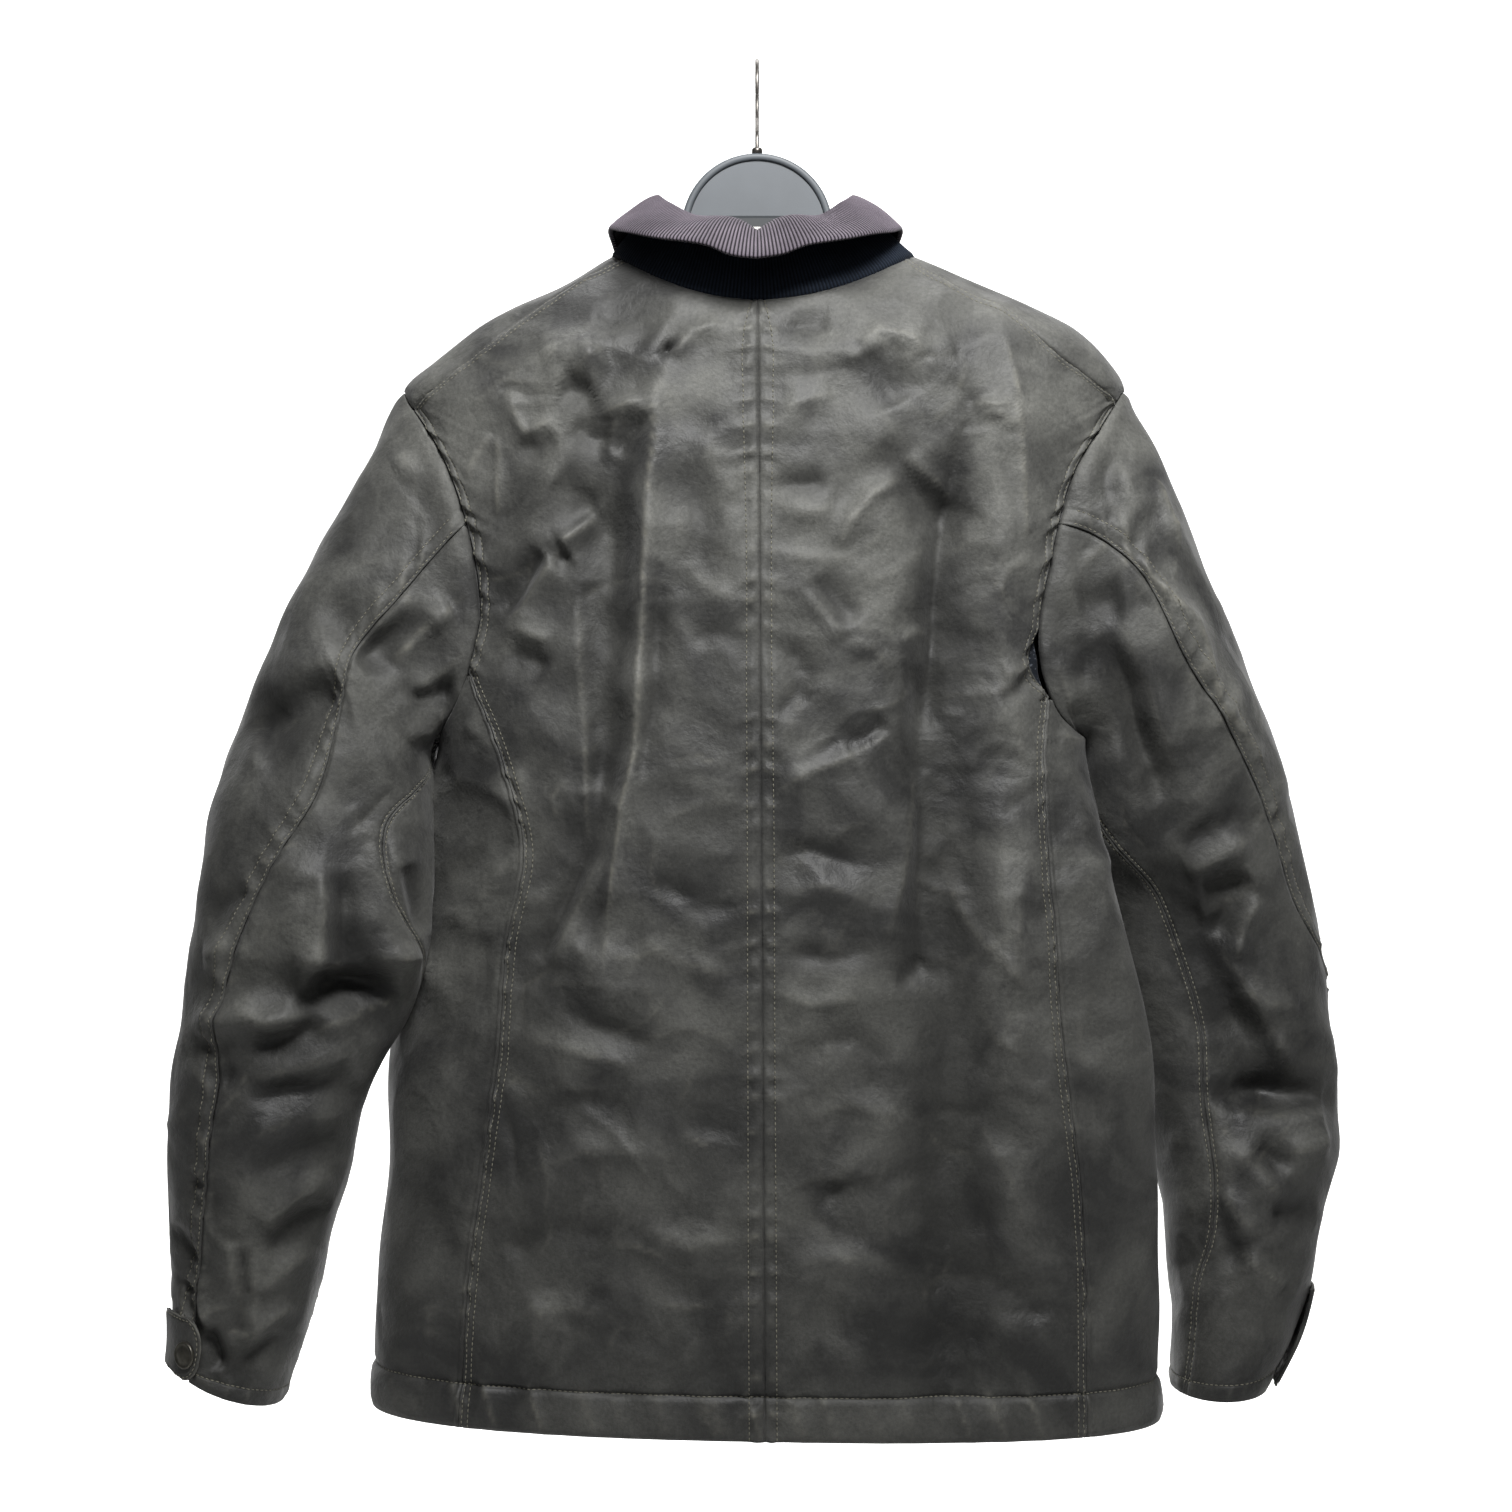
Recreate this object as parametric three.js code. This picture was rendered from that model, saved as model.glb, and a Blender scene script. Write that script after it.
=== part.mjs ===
// Waxed cotton jacket hanging on a plastic hanger with a wire hook, its back towards -Y.
// Millimetres, +Z up, +X the wearer's right. The origin is the inside of the hook's top, on the rail.
// The trunk is a stack of rounded rings, and each panel is the stretch of it between two seams.
import * as THREE from 'three';

// Driving dimensions
const CLOTH = 2.4; // waxed cotton and the lining behind it
const CORDUROY = 3; // the collar's two layers
const SEAM = 0.3; // gap between two pieces at a seam
const HEM = -871; // levels of the trunk, measured down from the hook at the jacket's sides
const HEM_STITCH = -844;
const UNDERARM = -440;
const SHOULDER_TIP = -215;
const NECK = -127;
const ELBOW_JOINT = 78; // where the elbow seam leaves the armhole, in degrees round it from the tip
const SLEEVE_JOIN = 0.16; // share of a sleeve's length over which it leaves the armhole's outline
const SLEEVE_RINGS = 27;
const BACK_COLUMNS = 7;
const SHOULDER_COLUMNS = 2;
const TAB_COLUMNS = 3;
const FRONT_COLUMNS = 7;
const FLY_HALF = 32; // half the width of the front fly
const FLY_TOP = -136;
const SNAP_RADIUS = 8.5;
const SNAP_HEIGHT = 2.6;
const SNAP_SIDES = 20;
const RIP = { low: -415, high: -371, width: 9 }; // the seam that has come open at the right armhole
const LINING = 1.2;
const HOOK_RADIUS = 20; // to the middle of the wire
const WIRE = 1.25; // half the wire's thickness
const DISC = { radius: 49, rim: 4.6, thick: 4, rimThick: 8, centre: -108, foot: -99.5 };

const DEGREE = Math.PI / 180;
const table = (columns, rows) =>
  rows.map((row) => Object.fromEntries(columns.map((column, index) => [column, row[index]])));

// Half-widths to each side, half-depths to the back and front, the roundness of the corners, how far
// the side leans to the front or back, how far the ring dips at the middle, and its tilt to one side.
const TRUNK = table(
  ['level', 'left', 'right', 'back', 'front', 'corner', 'leanLeft', 'leanRight', 'dipBack',
    'dipFront', 'tilt'],
  [
    [HEM, 249, 261, 84, 76, 2.5, 0, 0, 0, 0, 5],
    [HEM_STITCH, 248, 260, 84, 76, 2.5, 0, 0, 0, 0, 5],
    [-780, 245, 259, 84, 76, 2.5, 6, -5, 0, 0, 3],
    [-710, 241, 256, 84, 76, 2.5, 15, -14, 0, 0, 1],
    [-650, 239, 250, 85, 76, 2.5, 29, -26, 0, 0, 0],
    [-600, 232, 239, 86, 76, 2.5, 44, -36, 0, 0, 0],
    [-550, 226, 223, 87, 77, 2.5, 46, -36, 0, 0, 0],
    [-500, 217, 212, 88, 78, 2.5, 34, -24, 0, 0, 0],
    [UNDERARM, 200, 203, 89, 79, 2.45, 3, -2, 0, 0, 0],
    [-380, 206, 208, 88, 79, 2.4, 0, 0, 0, 0, 0],
    [-320, 214, 217, 86, 78, 2.4, 0, 0, 0, 0, 0],
    [-260, 224, 229, 83, 76, 2.45, 0, 0, 5, 12, 0],
    [SHOULDER_TIP, 228, 237, 80, 74, 2.48, 0, 0, 13, 28, 0],
    [-197, 211, 227, 78.5, 73, 2.55, 0, 0, 18, 38, 0],
    [-176, 183, 206, 77, 72, 2.6, 0, 0, 24, 48, 0],
    [-162, 157, 181, 75, 71, 2.55, 0, 0, 29, 57, 0],
    [-150, 133, 156, 73, 70, 2.45, 0, 0, 33, 65, 0],
    [-137, 111, 127, 70, 68, 2.25, 0, 0, 37, 73, 0],
    [NECK, 95, 103, 65, 66, 2, 0, 0, 39, 78, 0],
  ],
);

// How far out each seam lies from the middle of the jacket, by level.
const CENTRE_SEAM = table(['level', 'out'], [[HEM, 5], [-560, 3], [NECK, 0.5]]);
const SIDE_SEAM = {
  left: table(
    ['level', 'out'],
    [[HEM, 185], [-770, 179], [-712, 171], [-635, 162], [-568, 156], [-509, 145], [-449, 160],
      [-400, 180.2]],
  ),
  right: table(
    ['level', 'out'],
    [[HEM, 205], [-786, 205], [-715, 201], [-669, 195], [-614, 188], [-553, 184], [-527, 181],
      [-450, 178], [-415, 181.5]],
  ),
};
const SHOULDER_SEAM = {
  left: table(
    ['level', 'out'],
    [[-228, 217.6], [-217, 206], [-170, 151], [-150, 124], [NECK, 88]],
  ),
  right: table(
    ['level', 'out'],
    [[-223, 228.2], [-211, 213], [-194, 192], [-173, 170], [-160, 153], [NECK, 97]],
  ),
};

// The armhole, by degrees round it from the shoulder's tip: its place as a share of the half-width.
const ARMHOLE = table(
  ['turn', 'backLeft', 'backRight', 'front'],
  [
    [0, 1, 1, 1],
    [20, 0.976, 0.972, 0.965],
    [40, 0.92, 0.93, 0.9],
    [60, 0.868, 0.877, 0.84],
    [80, 0.84, 0.857, 0.8],
    [100, 0.838, 0.845, 0.785],
    [120, 0.866, 0.85, 0.8],
    [140, 0.91, 0.885, 0.85],
    [160, 0.965, 0.95, 0.94],
    [180, 1, 1, 1],
  ],
);

// Each row is a section of a sleeve: its outer and inner ends seen from behind, how far its middle
// stands to the front, half its depth, and the turns of the elbow seam and the under-arm seam.
const SLEEVE_COLUMNS = ['outX', 'outZ', 'inX', 'inZ', 'midY', 'depth', 'elbow', 'under'];
const SLEEVE = {
  left: table(SLEEVE_COLUMNS, [
    [-246, -240, -206, -439, 0, 56, 78, 180],
    [-267, -283, -210, -449, -4, 60, 87, 178],
    [-288, -327, -214, -461, -9, 63, 85, 168],
    [-308, -368, -214, -480, -14, 64, 89, 148],
    [-333, -432, -214, -510, -20, 63, 90, 128],
    [-348, -486, -214, -545, -32, 61, 78, 138],
    [-356, -555, -215, -580, -36, 60, 62, 172],
    [-366, -617, -227, -616, -33, 58, 58, 190],
    [-373, -665, -250, -670, -32, 57, 68, 195],
    [-375, -719, -262, -724, -28, 55, 66, 195],
    [-375, -752, -273, -759, -24, 52, 65, 195],
    [-374, -787, -281, -796, -21, 50, 61, 195],
    [-373, -815, -292, -831, -20, 48, 60, 195],
    [-374, -832, -303, -862, -20, 47, 60, 195],
  ]),
  right: table(SLEEVE_COLUMNS, [
    [250, -232, 207, -439, 0, 56, 78, 180],
    [270, -270, 210, -450, 3, 60, 75, 178],
    [289, -316, 211, -465, 8, 63, 75, 168],
    [309, -365, 210, -486, 14, 64, 68, 152],
    [335, -425, 212, -516, 22, 62, 57, 135],
    [355, -485, 218, -552, 32, 60, 48, 122],
    [371, -545, 228, -594, 40, 58, 41, 114],
    [381, -604, 242, -637, 43, 57, 6, 112],
    [387, -661, 253, -680, 42, 57, -8, 118],
    [388, -709, 264, -719, 38, 55, -15, 120],
    [375, -748, 270, -762, 32, 53, -15, 125],
    [366, -784, 273, -796, 27, 50, -10, 140],
    [355, -824, 274, -836, 24, 48, -6, 146],
    [336, -862, 273, -865, 24, 48, -4, 150],
  ]),
};

// The largest folds: a soft ridge, or a trough where its height is below zero, from one point of the
// view to another.
const FOLD_COLUMNS = ['x1', 'z1', 'x2', 'z2', 'wide', 'high'];
const BACK_FOLDS = table(FOLD_COLUMNS, [
  [-64, -240, -74, -410, 20, 5],
  [-74, -410, -95, -587, 22, 5],
  [-92, -330, -90, -480, 22, -6],
  [-111, -330, -111, -480, 14, 3],
  [118, -310, 120, -830, 30, -8],
  [153, -175, 168, -330, 16, 4],
  [-150, -270, -170, -360, 18, -4],
  [-100, -560, -150, -640, 26, -4],
  [165, -420, 160, -560, 18, 3],
]);
const FRONT_FOLDS = table(FOLD_COLUMNS, [
  [-80, -260, -105, -560, 26, 5],
  [-125, -300, -150, -640, 24, -5],
  [85, -240, 100, -520, 26, 5],
  [130, -320, 150, -760, 30, -6],
]);
const SLEEVE_FOLDS = {
  left: table(FOLD_COLUMNS, [
    [-283, -590, -236, -603, 16, -12],
    [-337, -614, -238, -609, 10, 6],
    [-340, -432, -270, -410, 14, -7],
    [-262, -362, -232, -388, 14, -6],
    [-281, -524, -281, -590, 14, 6],
    [-330, -655, -290, -640, 18, -5],
  ]),
  right: table(FOLD_COLUMNS, [
    [219, -371, 262, -484, 16, -7],
    [240, -335, 297, -414, 16, 5],
    [297, -414, 337, -468, 16, 5],
    [262, -545, 330, -655, 26, -14],
    [305, -670, 374, -674, 12, -6],
    [300, -705, 345, -745, 14, 4],
  ]),
};

// The collar, by degrees round the neck from the middle of the back: the height of its roll, and how
// far the fall reaches out from the roll and drops below it.
const ROLL = { left: 68, right: 66, back: 50, front: 52 };
const COLLAR = table(
  ['turn', 'roll', 'reach', 'drop'],
  [
    [0, -119, 47, 29],
    [9, -113, 46, 30],
    [18, -110, 45, 27],
    [38, -107, 41, 22],
    [60, -96, 35, 23],
    [80, -88, 30, 24],
    [100, -92, 28, 27],
    [125, -112, 34, 42],
    [150, -138, 33, 54],
    [180, -160, 30, 58],
  ],
);
const FALL_END = 148;

// The top line of the hanger's arms, with half their depth and their height.
const HANGER = table(
  ['out', 'top', 'half', 'tall'],
  [
    [0, -99.8, 6, 30],
    [50, -99.8, 6, 28],
    [70, -111, 6, 26],
    [88, -128, 6, 23],
    [100, -138, 6, 22],
    [134, -156, 7, 20],
    [157, -167, 8, 19],
    [182, -182, 8, 18],
    [198, -193.5, 8, 16],
    [209, -203, 8, 13],
  ],
);

const COLOURS = {
  waxedCotton: new THREE.MeshStandardMaterial({ color: 0x52524a, roughness: 0.62, metalness: 0 }),
  corduroy: new THREE.MeshStandardMaterial({ color: 0x564f56, roughness: 0.9, metalness: 0 }),
  lining: new THREE.MeshStandardMaterial({ color: 0x23262b, roughness: 0.9, metalness: 0 }),
  snapMetal: new THREE.MeshStandardMaterial({ color: 0x3f3d3a, roughness: 0.4, metalness: 0.9 }),
  labelTape: new THREE.MeshStandardMaterial({ color: 0xf1f1ef, roughness: 0.8, metalness: 0 }),
  armPlastic: new THREE.MeshStandardMaterial({ color: 0x3a3d40, roughness: 0.5, metalness: 0 }),
  discPlastic: new THREE.MeshStandardMaterial({ color: 0x6f7478, roughness: 0.45, metalness: 0 }),
  wire: new THREE.MeshStandardMaterial({ color: 0x6b6259, roughness: 0.35, metalness: 1 }),
};

const jacket = new THREE.Group();

// The value of a table's column between its rows, on a smooth curve through them.
function along(rows, key, column, at) {
  const last = rows.length - 1;
  let low = 0;
  while (low < last - 1 && at > rows[low + 1][key]) {
    low += 1;
  }
  const slope = (index) => {
    const before = rows[Math.max(index - 1, 0)];
    const after = rows[Math.min(index + 1, last)];
    return (after[column] - before[column]) / (after[key] - before[key]);
  };
  const span = rows[low + 1][key] - rows[low][key];
  const t = THREE.MathUtils.clamp((at - rows[low][key]) / span, 0, 1);
  const start = rows[low][column];
  const end = rows[low + 1][column];
  return (
    start * (2 * t ** 3 - 3 * t ** 2 + 1) +
    end * (3 * t ** 2 - 2 * t ** 3) +
    slope(low) * span * (t ** 3 - 2 * t ** 2 + t) +
    slope(low + 1) * span * (t ** 3 - t ** 2)
  );
}

// The height of the folds at a point of the view: each falls off as a bell curve from its line.
function foldHeight(folds, x, z) {
  let height = 0;
  for (const fold of folds) {
    const runX = fold.x2 - fold.x1;
    const runZ = fold.z2 - fold.z1;
    const share = ((x - fold.x1) * runX + (z - fold.z1) * runZ) / (runX ** 2 + runZ ** 2);
    const near = THREE.MathUtils.clamp(share, 0, 1);
    const far = Math.hypot(x - fold.x1 - near * runX, z - fold.z1 - near * runZ);
    height += fold.high * Math.exp(-((far / fold.wide) ** 2));
  }
  return height;
}

// The outward normal of a surface of two parameters, from its slopes.
function normalOf(surface, first, second, stepFirst, stepSecond) {
  const acrossFirst = surface(first + stepFirst, second).sub(surface(first - stepFirst, second));
  const acrossSecond = surface(first, second + stepSecond).sub(surface(first, second - stepSecond));
  return acrossFirst.cross(acrossSecond).normalize();
}

const signedPower = (value, power) => Math.sign(value) * Math.abs(value) ** power;

// A point of the trunk's smooth form: a superellipse ring, dipping at the middle of back and front.
// The angle is 0 at the middle of the back, 90 degrees at the right side, 180 at the middle front.
function trunkForm(angle, level) {
  const at = (column) => along(TRUNK, 'level', column, level);
  const across = Math.sin(angle);
  const depth = Math.cos(angle);
  const power = 2 / at('corner');
  const x = signedPower(across, power) * at(across < 0 ? 'left' : 'right');
  const lean = at(across < 0 ? 'leanLeft' : 'leanRight') * across ** 4;
  const y = -signedPower(depth, power) * at(depth > 0 ? 'back' : 'front') + lean;
  const dip = at(depth > 0 ? 'dipBack' : 'dipFront') * depth ** 2;
  return new THREE.Vector3(x, y, level - dip - (at('tilt') * x) / at('right'));
}

// The trunk with its folds, which stand out along its normals.
const ANGLE_STEP = 0.01;
const LEVEL_STEP = 2;
const safeLevel = (level) => THREE.MathUtils.clamp(level, HEM + LEVEL_STEP, NECK - LEVEL_STEP);
const trunkFormNormal = (angle, level) =>
  normalOf(trunkForm, angle, safeLevel(level), ANGLE_STEP, LEVEL_STEP);

function trunk(angle, level) {
  const point = trunkForm(angle, level);
  const facing = Math.min(1, Math.abs(Math.cos(angle)) * 2);
  const folds = Math.cos(angle) > 0 ? BACK_FOLDS : FRONT_FOLDS;
  const height = foldHeight(folds, point.x, point.z) * facing;
  return point.addScaledVector(trunkFormNormal(angle, level), height);
}
const trunkNormal = (angle, level) =>
  normalOf(trunk, angle, safeLevel(level), ANGLE_STEP, LEVEL_STEP);

const SIDES = {
  left: { sign: -1, shoulderJoint: 28, sideJoint: 130, armhole: 'backLeft' },
  right: { sign: 1, shoulderJoint: 22, sideJoint: 141, armhole: 'backRight' },
};

// Angles in a side's own sense, where 0 is the middle of the back and 180 degrees the middle front.
const sideAngle = (side, angle) => SIDES[side].sign * angle;

function angleAtShare(level, share) {
  const corner = along(TRUNK, 'level', 'corner', level);
  return Math.asin(Math.min(1, share) ** (corner / 2));
}
const angleAtWidth = (side, level, out) =>
  angleAtShare(level, out / along(TRUNK, 'level', side, level));

// The armhole runs from the shoulder's tip down the back (positive turns) or front to the underarm.
const armholeLevel = (turn) =>
  SHOULDER_TIP + ((UNDERARM - SHOULDER_TIP) * (1 - Math.cos(turn * DEGREE))) / 2;
const armholeTurn = (level) =>
  Math.acos(1 - (2 * (level - SHOULDER_TIP)) / (UNDERARM - SHOULDER_TIP)) / DEGREE;

function armholeAngle(side, turn) {
  if (Math.abs(turn) < 0.01 || Math.abs(turn) > 179.99) {
    return Math.PI / 2;
  }
  const column = turn > 0 ? SIDES[side].armhole : 'front';
  const share = along(ARMHOLE, 'turn', column, Math.abs(turn));
  const angle = angleAtShare(armholeLevel(turn), share);
  return turn > 0 ? angle : Math.PI - angle;
}

const steps = (from, to, count) =>
  Array.from({ length: count + 1 }, (unused, index) => from + ((to - from) * index) / count);
const joined = (...lists) => lists.flatMap((list, index) => (index ? list.slice(1) : list));

function armholeTurns(side) {
  const { shoulderJoint, sideJoint } = SIDES[side];
  return {
    top: steps(0, shoulderJoint, 2),
    upper: steps(shoulderJoint, ELBOW_JOINT, 3),
    lower: steps(ELBOW_JOINT, sideJoint, 4),
    under: steps(sideJoint, 180, 3),
    front: steps(0, -180, 10),
  };
}

// A patch is a set of fields of quads over two parameters. Each field runs between two edges, and
// fields that meet share their points.
function patch(surface, normal, fields, flipped) {
  const points = [];
  const inward = [];
  const triangles = [];
  const known = new Map();
  const place = (first, second, override) => {
    const key = `${first.toFixed(6)} ${second.toFixed(4)}`;
    if (!known.has(key)) {
      known.set(key, points.length);
      points.push(override ? override.point : surface(first, second));
      inward.push((override ? override.normal : normal(first, second)).clone().negate());
    }
    return known.get(key);
  };
  for (const field of fields) {
    const grid = field.rows.map((second, row) =>
      field.shares(row).map((share, column) => {
        const from = field.from(second);
        const first = from + (field.to(second) - from) * share;
        return place(first, second, field.override?.(row, column));
      }),
    );
    for (let row = 0; row + 1 < grid.length; row += 1) {
      for (let column = 0; column + 1 < grid[row].length; column += 1) {
        const corners = [
          grid[row][column],
          grid[row][column + 1],
          grid[row + 1][column + 1],
          grid[row + 1][column],
        ];
        if (flipped) {
          corners.reverse();
        }
        const [a, b, c, d] = corners;
        triangles.push([a, b, c], [a, c, d]);
      }
    }
  }
  const whole = triangles.filter(([a, b, c]) => a !== b && b !== c && c !== a);
  return { points, inward, triangles: whole };
}

const evenly = (count) => () => steps(0, 1, count);

// A wall of cloth: the outer face lies `lift` out from the patch's points, the inner face behind it,
// and a narrow strip closes it round every open edge.
function wall(name, sheet, thickness, material, lift = 0) {
  const count = sheet.points.length;
  const outer = sheet.points.map((point, index) =>
    point.clone().addScaledVector(sheet.inward[index], -lift),
  );
  const inner = outer.map((point, index) =>
    point.clone().addScaledVector(sheet.inward[index], thickness),
  );
  const edges = new Set();
  for (const [a, b, c] of sheet.triangles) {
    for (const [from, to] of [[a, b], [b, c], [c, a]]) {
      edges.add(`${from} ${to}`);
    }
  }
  const triangles = [...sheet.triangles];
  for (const [a, b, c] of sheet.triangles) {
    triangles.push([a + count, c + count, b + count]);
    for (const [from, to] of [[a, b], [b, c], [c, a]]) {
      if (!edges.has(`${to} ${from}`)) {
        triangles.push([to, from, from + count], [to, from + count, to + count]);
      }
    }
  }
  return solid(name, [...outer, ...inner], triangles, material);
}

function solid(name, points, triangles, material) {
  const geometry = new THREE.BufferGeometry();
  geometry.setAttribute(
    'position',
    new THREE.Float32BufferAttribute(points.flatMap((point) => point.toArray()), 3),
  );
  geometry.setIndex(triangles.flat());
  return add(name, geometry, material);
}

function add(name, geometry, material) {
  geometry.computeVertexNormals();
  const mesh = new THREE.Mesh(geometry, material);
  mesh.name = name;
  jacket.add(mesh);
  return mesh;
}

// Levels of the trunk's rows
const TRUNK_ROWS = [HEM, HEM_STITCH, -808, -768, -728, -690, -652, -616, -580, -545, -510, -474,
  UNDERARM];
const SHOULDER_ROWS = [SHOULDER_TIP, -197, -178, -160, -144, NECK];
const levelsOf = (turns) => turns.map(armholeLevel);
const upwards = (list) => [...list].reverse();

// The angle by which an edge steps back from its seam, half the seam's gap.
function seamAngle(side, angle, level) {
  const here = trunkForm(sideAngle(side, angle), level);
  const there = trunkForm(sideAngle(side, angle + ANGLE_STEP), level);
  return ((SEAM / 2) * ANGLE_STEP) / here.distanceTo(there);
}

function seams(side) {
  const { sideJoint, shoulderJoint, sign } = SIDES[side];
  const back = (rows) => (level) =>
    angleAtWidth(side, level, along(rows, 'level', 'out', level));
  const sideSeam = back(SIDE_SEAM[side]);
  const shoulderSeam = back(SHOULDER_SEAM[side]);
  const armholeBack = (level) => armholeAngle(side, Math.max(armholeTurn(level), 0.001));
  const armholeFront = (level) => armholeAngle(side, -armholeTurn(level));
  const centre = (level) => {
    const out = along(CENTRE_SEAM, 'level', 'out', level);
    return sign * angleAtWidth('right', level, out);
  };
  const sideLevel = armholeLevel(sideJoint);
  const shoulderLevel = armholeLevel(shoulderJoint);
  return { sideSeam, shoulderSeam, armholeBack, armholeFront, centre, sideLevel, shoulderLevel };
}

// How far the open seam at the right armhole has drawn back, widest at its middle.
function ripWidth(side, level) {
  const share = (level - RIP.low) / (RIP.high - RIP.low);
  return side === 'right' && share > 0 && share < 1 ? RIP.width * Math.sin(Math.PI * share) : 0;
}

function backPanel(side) {
  const seam = seams(side);
  const turns = armholeTurns(side);
  const edge = (level) => {
    if (level < seam.sideLevel + 0.01) {
      const angle = Math.min(seam.sideSeam(level), level < UNDERARM ? Math.PI : seam.armholeBack(level));
      return angle - seamAngle(side, angle, level);
    }
    if (level < seam.shoulderLevel - 0.01) {
      const angle = seam.armholeBack(level);
      return angle - (seamAngle(side, angle, level) * 2 * ripWidth(side, level)) / SEAM;
    }
    return seam.shoulderSeam(level) - 2 * seamAngle(side, seam.shoulderSeam(level), level);
  };
  const rows = joined(
    TRUNK_ROWS,
    levelsOf(upwards(turns.under)),
    levelsOf(upwards(turns.lower)),
    levelsOf(upwards(turns.upper)),
    levelsOf(upwards(turns.top)),
    SHOULDER_ROWS,
  );
  const from = (level) => seam.centre(level) + seamAngle(side, 0.05, level);
  const sheet = patch(
    (angle, level) => trunk(sideAngle(side, angle), level),
    (angle, level) => trunkNormal(sideAngle(side, angle), level),
    [{ rows, from, to: edge, shares: evenly(BACK_COLUMNS) }],
    SIDES[side].sign < 0,
  );
  wall(`back_${side}`, sheet, CLOTH, COLOURS.waxedCotton);
}

const sideLine = () => Math.PI / 2;
const flyAngle = (side) => (level) => Math.PI - angleAtWidth(side, level, FLY_HALF);
const frontEdge = (side) => (level) => Math.PI - seamAngle(side, Math.PI - 0.05, level);
const FRONT_ROWS = joined(
  TRUNK_ROWS,
  levelsOf(upwards(armholeTurns('left').front)),
  SHOULDER_ROWS,
);

function frontPanel(side) {
  const seam = seams(side);
  const turns = armholeTurns(side);
  const beyond = (line, limit, gaps) => (level) =>
    Math.min(line(level) + gaps * seamAngle(side, line(level), level), limit(level));
  const sideEdge = beyond(seam.sideSeam, sideLine, 1);
  const tabEdge = beyond(seam.sideSeam, seam.armholeBack, 1);
  const yokeEdge = beyond(seam.shoulderSeam, sideLine, 2);
  const topEdge = beyond(seam.shoulderSeam, seam.armholeBack, 2);
  const armholeRows = levelsOf(upwards(turns.front));
  const fly = flyAngle(side);
  const field = (rows, from, to, columns) => ({ rows, from, to, shares: evenly(columns) });
  const sheet = patch(
    (angle, level) => trunk(sideAngle(side, angle), level),
    (angle, level) => trunkNormal(sideAngle(side, angle), level),
    [
      field(TRUNK_ROWS, sideEdge, sideLine, TAB_COLUMNS),
      field(TRUNK_ROWS, sideLine, fly, FRONT_COLUMNS),
      field(levelsOf(upwards(turns.under)), tabEdge, seam.armholeBack, TAB_COLUMNS),
      field(armholeRows, seam.armholeFront, fly, FRONT_COLUMNS),
      field(levelsOf(upwards(turns.top)), topEdge, seam.armholeBack, SHOULDER_COLUMNS),
      field(SHOULDER_ROWS, yokeEdge, sideLine, SHOULDER_COLUMNS),
      field(SHOULDER_ROWS, sideLine, fly, FRONT_COLUMNS),
      field(FRONT_ROWS, fly, frontEdge(side), 1),
    ],
    SIDES[side].sign < 0,
  );
  wall(`front_${side}`, sheet, CLOTH, COLOURS.waxedCotton);
}

// The fly is a strip over the front edges, made from the fronts' own points, moved out.
function frontFly() {
  const rows = [...FRONT_ROWS.filter((level) => level < FLY_TOP - SNAP_RADIUS), FLY_TOP];
  const sheet = patch(
    trunk,
    trunkNormal,
    [
      { rows, from: flyAngle('right'), to: () => Math.PI, shares: evenly(1) },
      {
        rows,
        from: () => Math.PI,
        to: (level) => 2 * Math.PI - flyAngle('left')(level),
        shares: evenly(1),
      },
    ],
    false,
  );
  wall('front_fly', sheet, CLOTH, COLOURS.waxedCotton, CLOTH + SEAM);
}

// A snap cap: a domed disc with a rolled edge, turned about its axis and set square to the cloth.
function snapCap(name, point, normal) {
  const profile = [
    [0, 0],
    [SNAP_RADIUS, 0],
    [SNAP_RADIUS, SNAP_HEIGHT * 0.45],
    [SNAP_RADIUS * 0.86, SNAP_HEIGHT * 0.8],
    [0, SNAP_HEIGHT],
  ].map(([radius, height]) => new THREE.Vector2(radius, height));
  const geometry = new THREE.LatheGeometry(profile, SNAP_SIDES);
  const turn = new THREE.Quaternion().setFromUnitVectors(new THREE.Vector3(0, 1, 0), normal);
  const mesh = add(name, geometry, COLOURS.snapMetal);
  mesh.quaternion.copy(turn);
  mesh.position.copy(point);
}

const FLY_SNAPS = { first: -250, step: -135, count: 5, out: 16, gap: 0.8 };
function flySnaps() {
  for (let index = 0; index < FLY_SNAPS.count; index += 1) {
    const level = FLY_SNAPS.first + FLY_SNAPS.step * index;
    const angle = Math.PI - angleAtWidth('right', level, FLY_SNAPS.out);
    const normal = trunkNormal(angle, level);
    const lift = CLOTH + FLY_SNAPS.gap;
    snapCap(`fly_snap_${index + 1}`, trunk(angle, level).addScaledVector(normal, lift), normal);
  }
}

// A sleeve: tilted oval sections, which blend into the armhole's outline at the top.
// The place runs from 0 at the armhole to 1 at the cuff, and the turn goes round from the outer side
// over the back.
const SLEEVE_SPANS = SLEEVE.left.length - 1;
const numbered = (rows) => rows.map((row, index) => ({ ...row, row: index }));
const sleeveRows = { left: numbered(SLEEVE.left), right: numbered(SLEEVE.right) };

function sleeveForm(side, turn, place) {
  const index = THREE.MathUtils.clamp(place, 0, 1) * SLEEVE_SPANS;
  const at = (column) => along(sleeveRows[side], 'row', column, index);
  const outer = new THREE.Vector3(at('outX'), at('midY'), at('outZ'));
  const inner = new THREE.Vector3(at('inX'), at('midY'), at('inZ'));
  const middle = outer.clone().add(inner).multiplyScalar(0.5);
  const reach = outer.clone().sub(inner).multiplyScalar(0.5);
  const section = middle.addScaledVector(reach, Math.cos(turn * DEGREE));
  section.y -= at('depth') * Math.sin(turn * DEGREE);
  const left = THREE.MathUtils.clamp(1 - place / SLEEVE_JOIN, 0, 1) ** 2;
  return section.lerp(armholeRim(side, turn).point, left);
}

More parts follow.
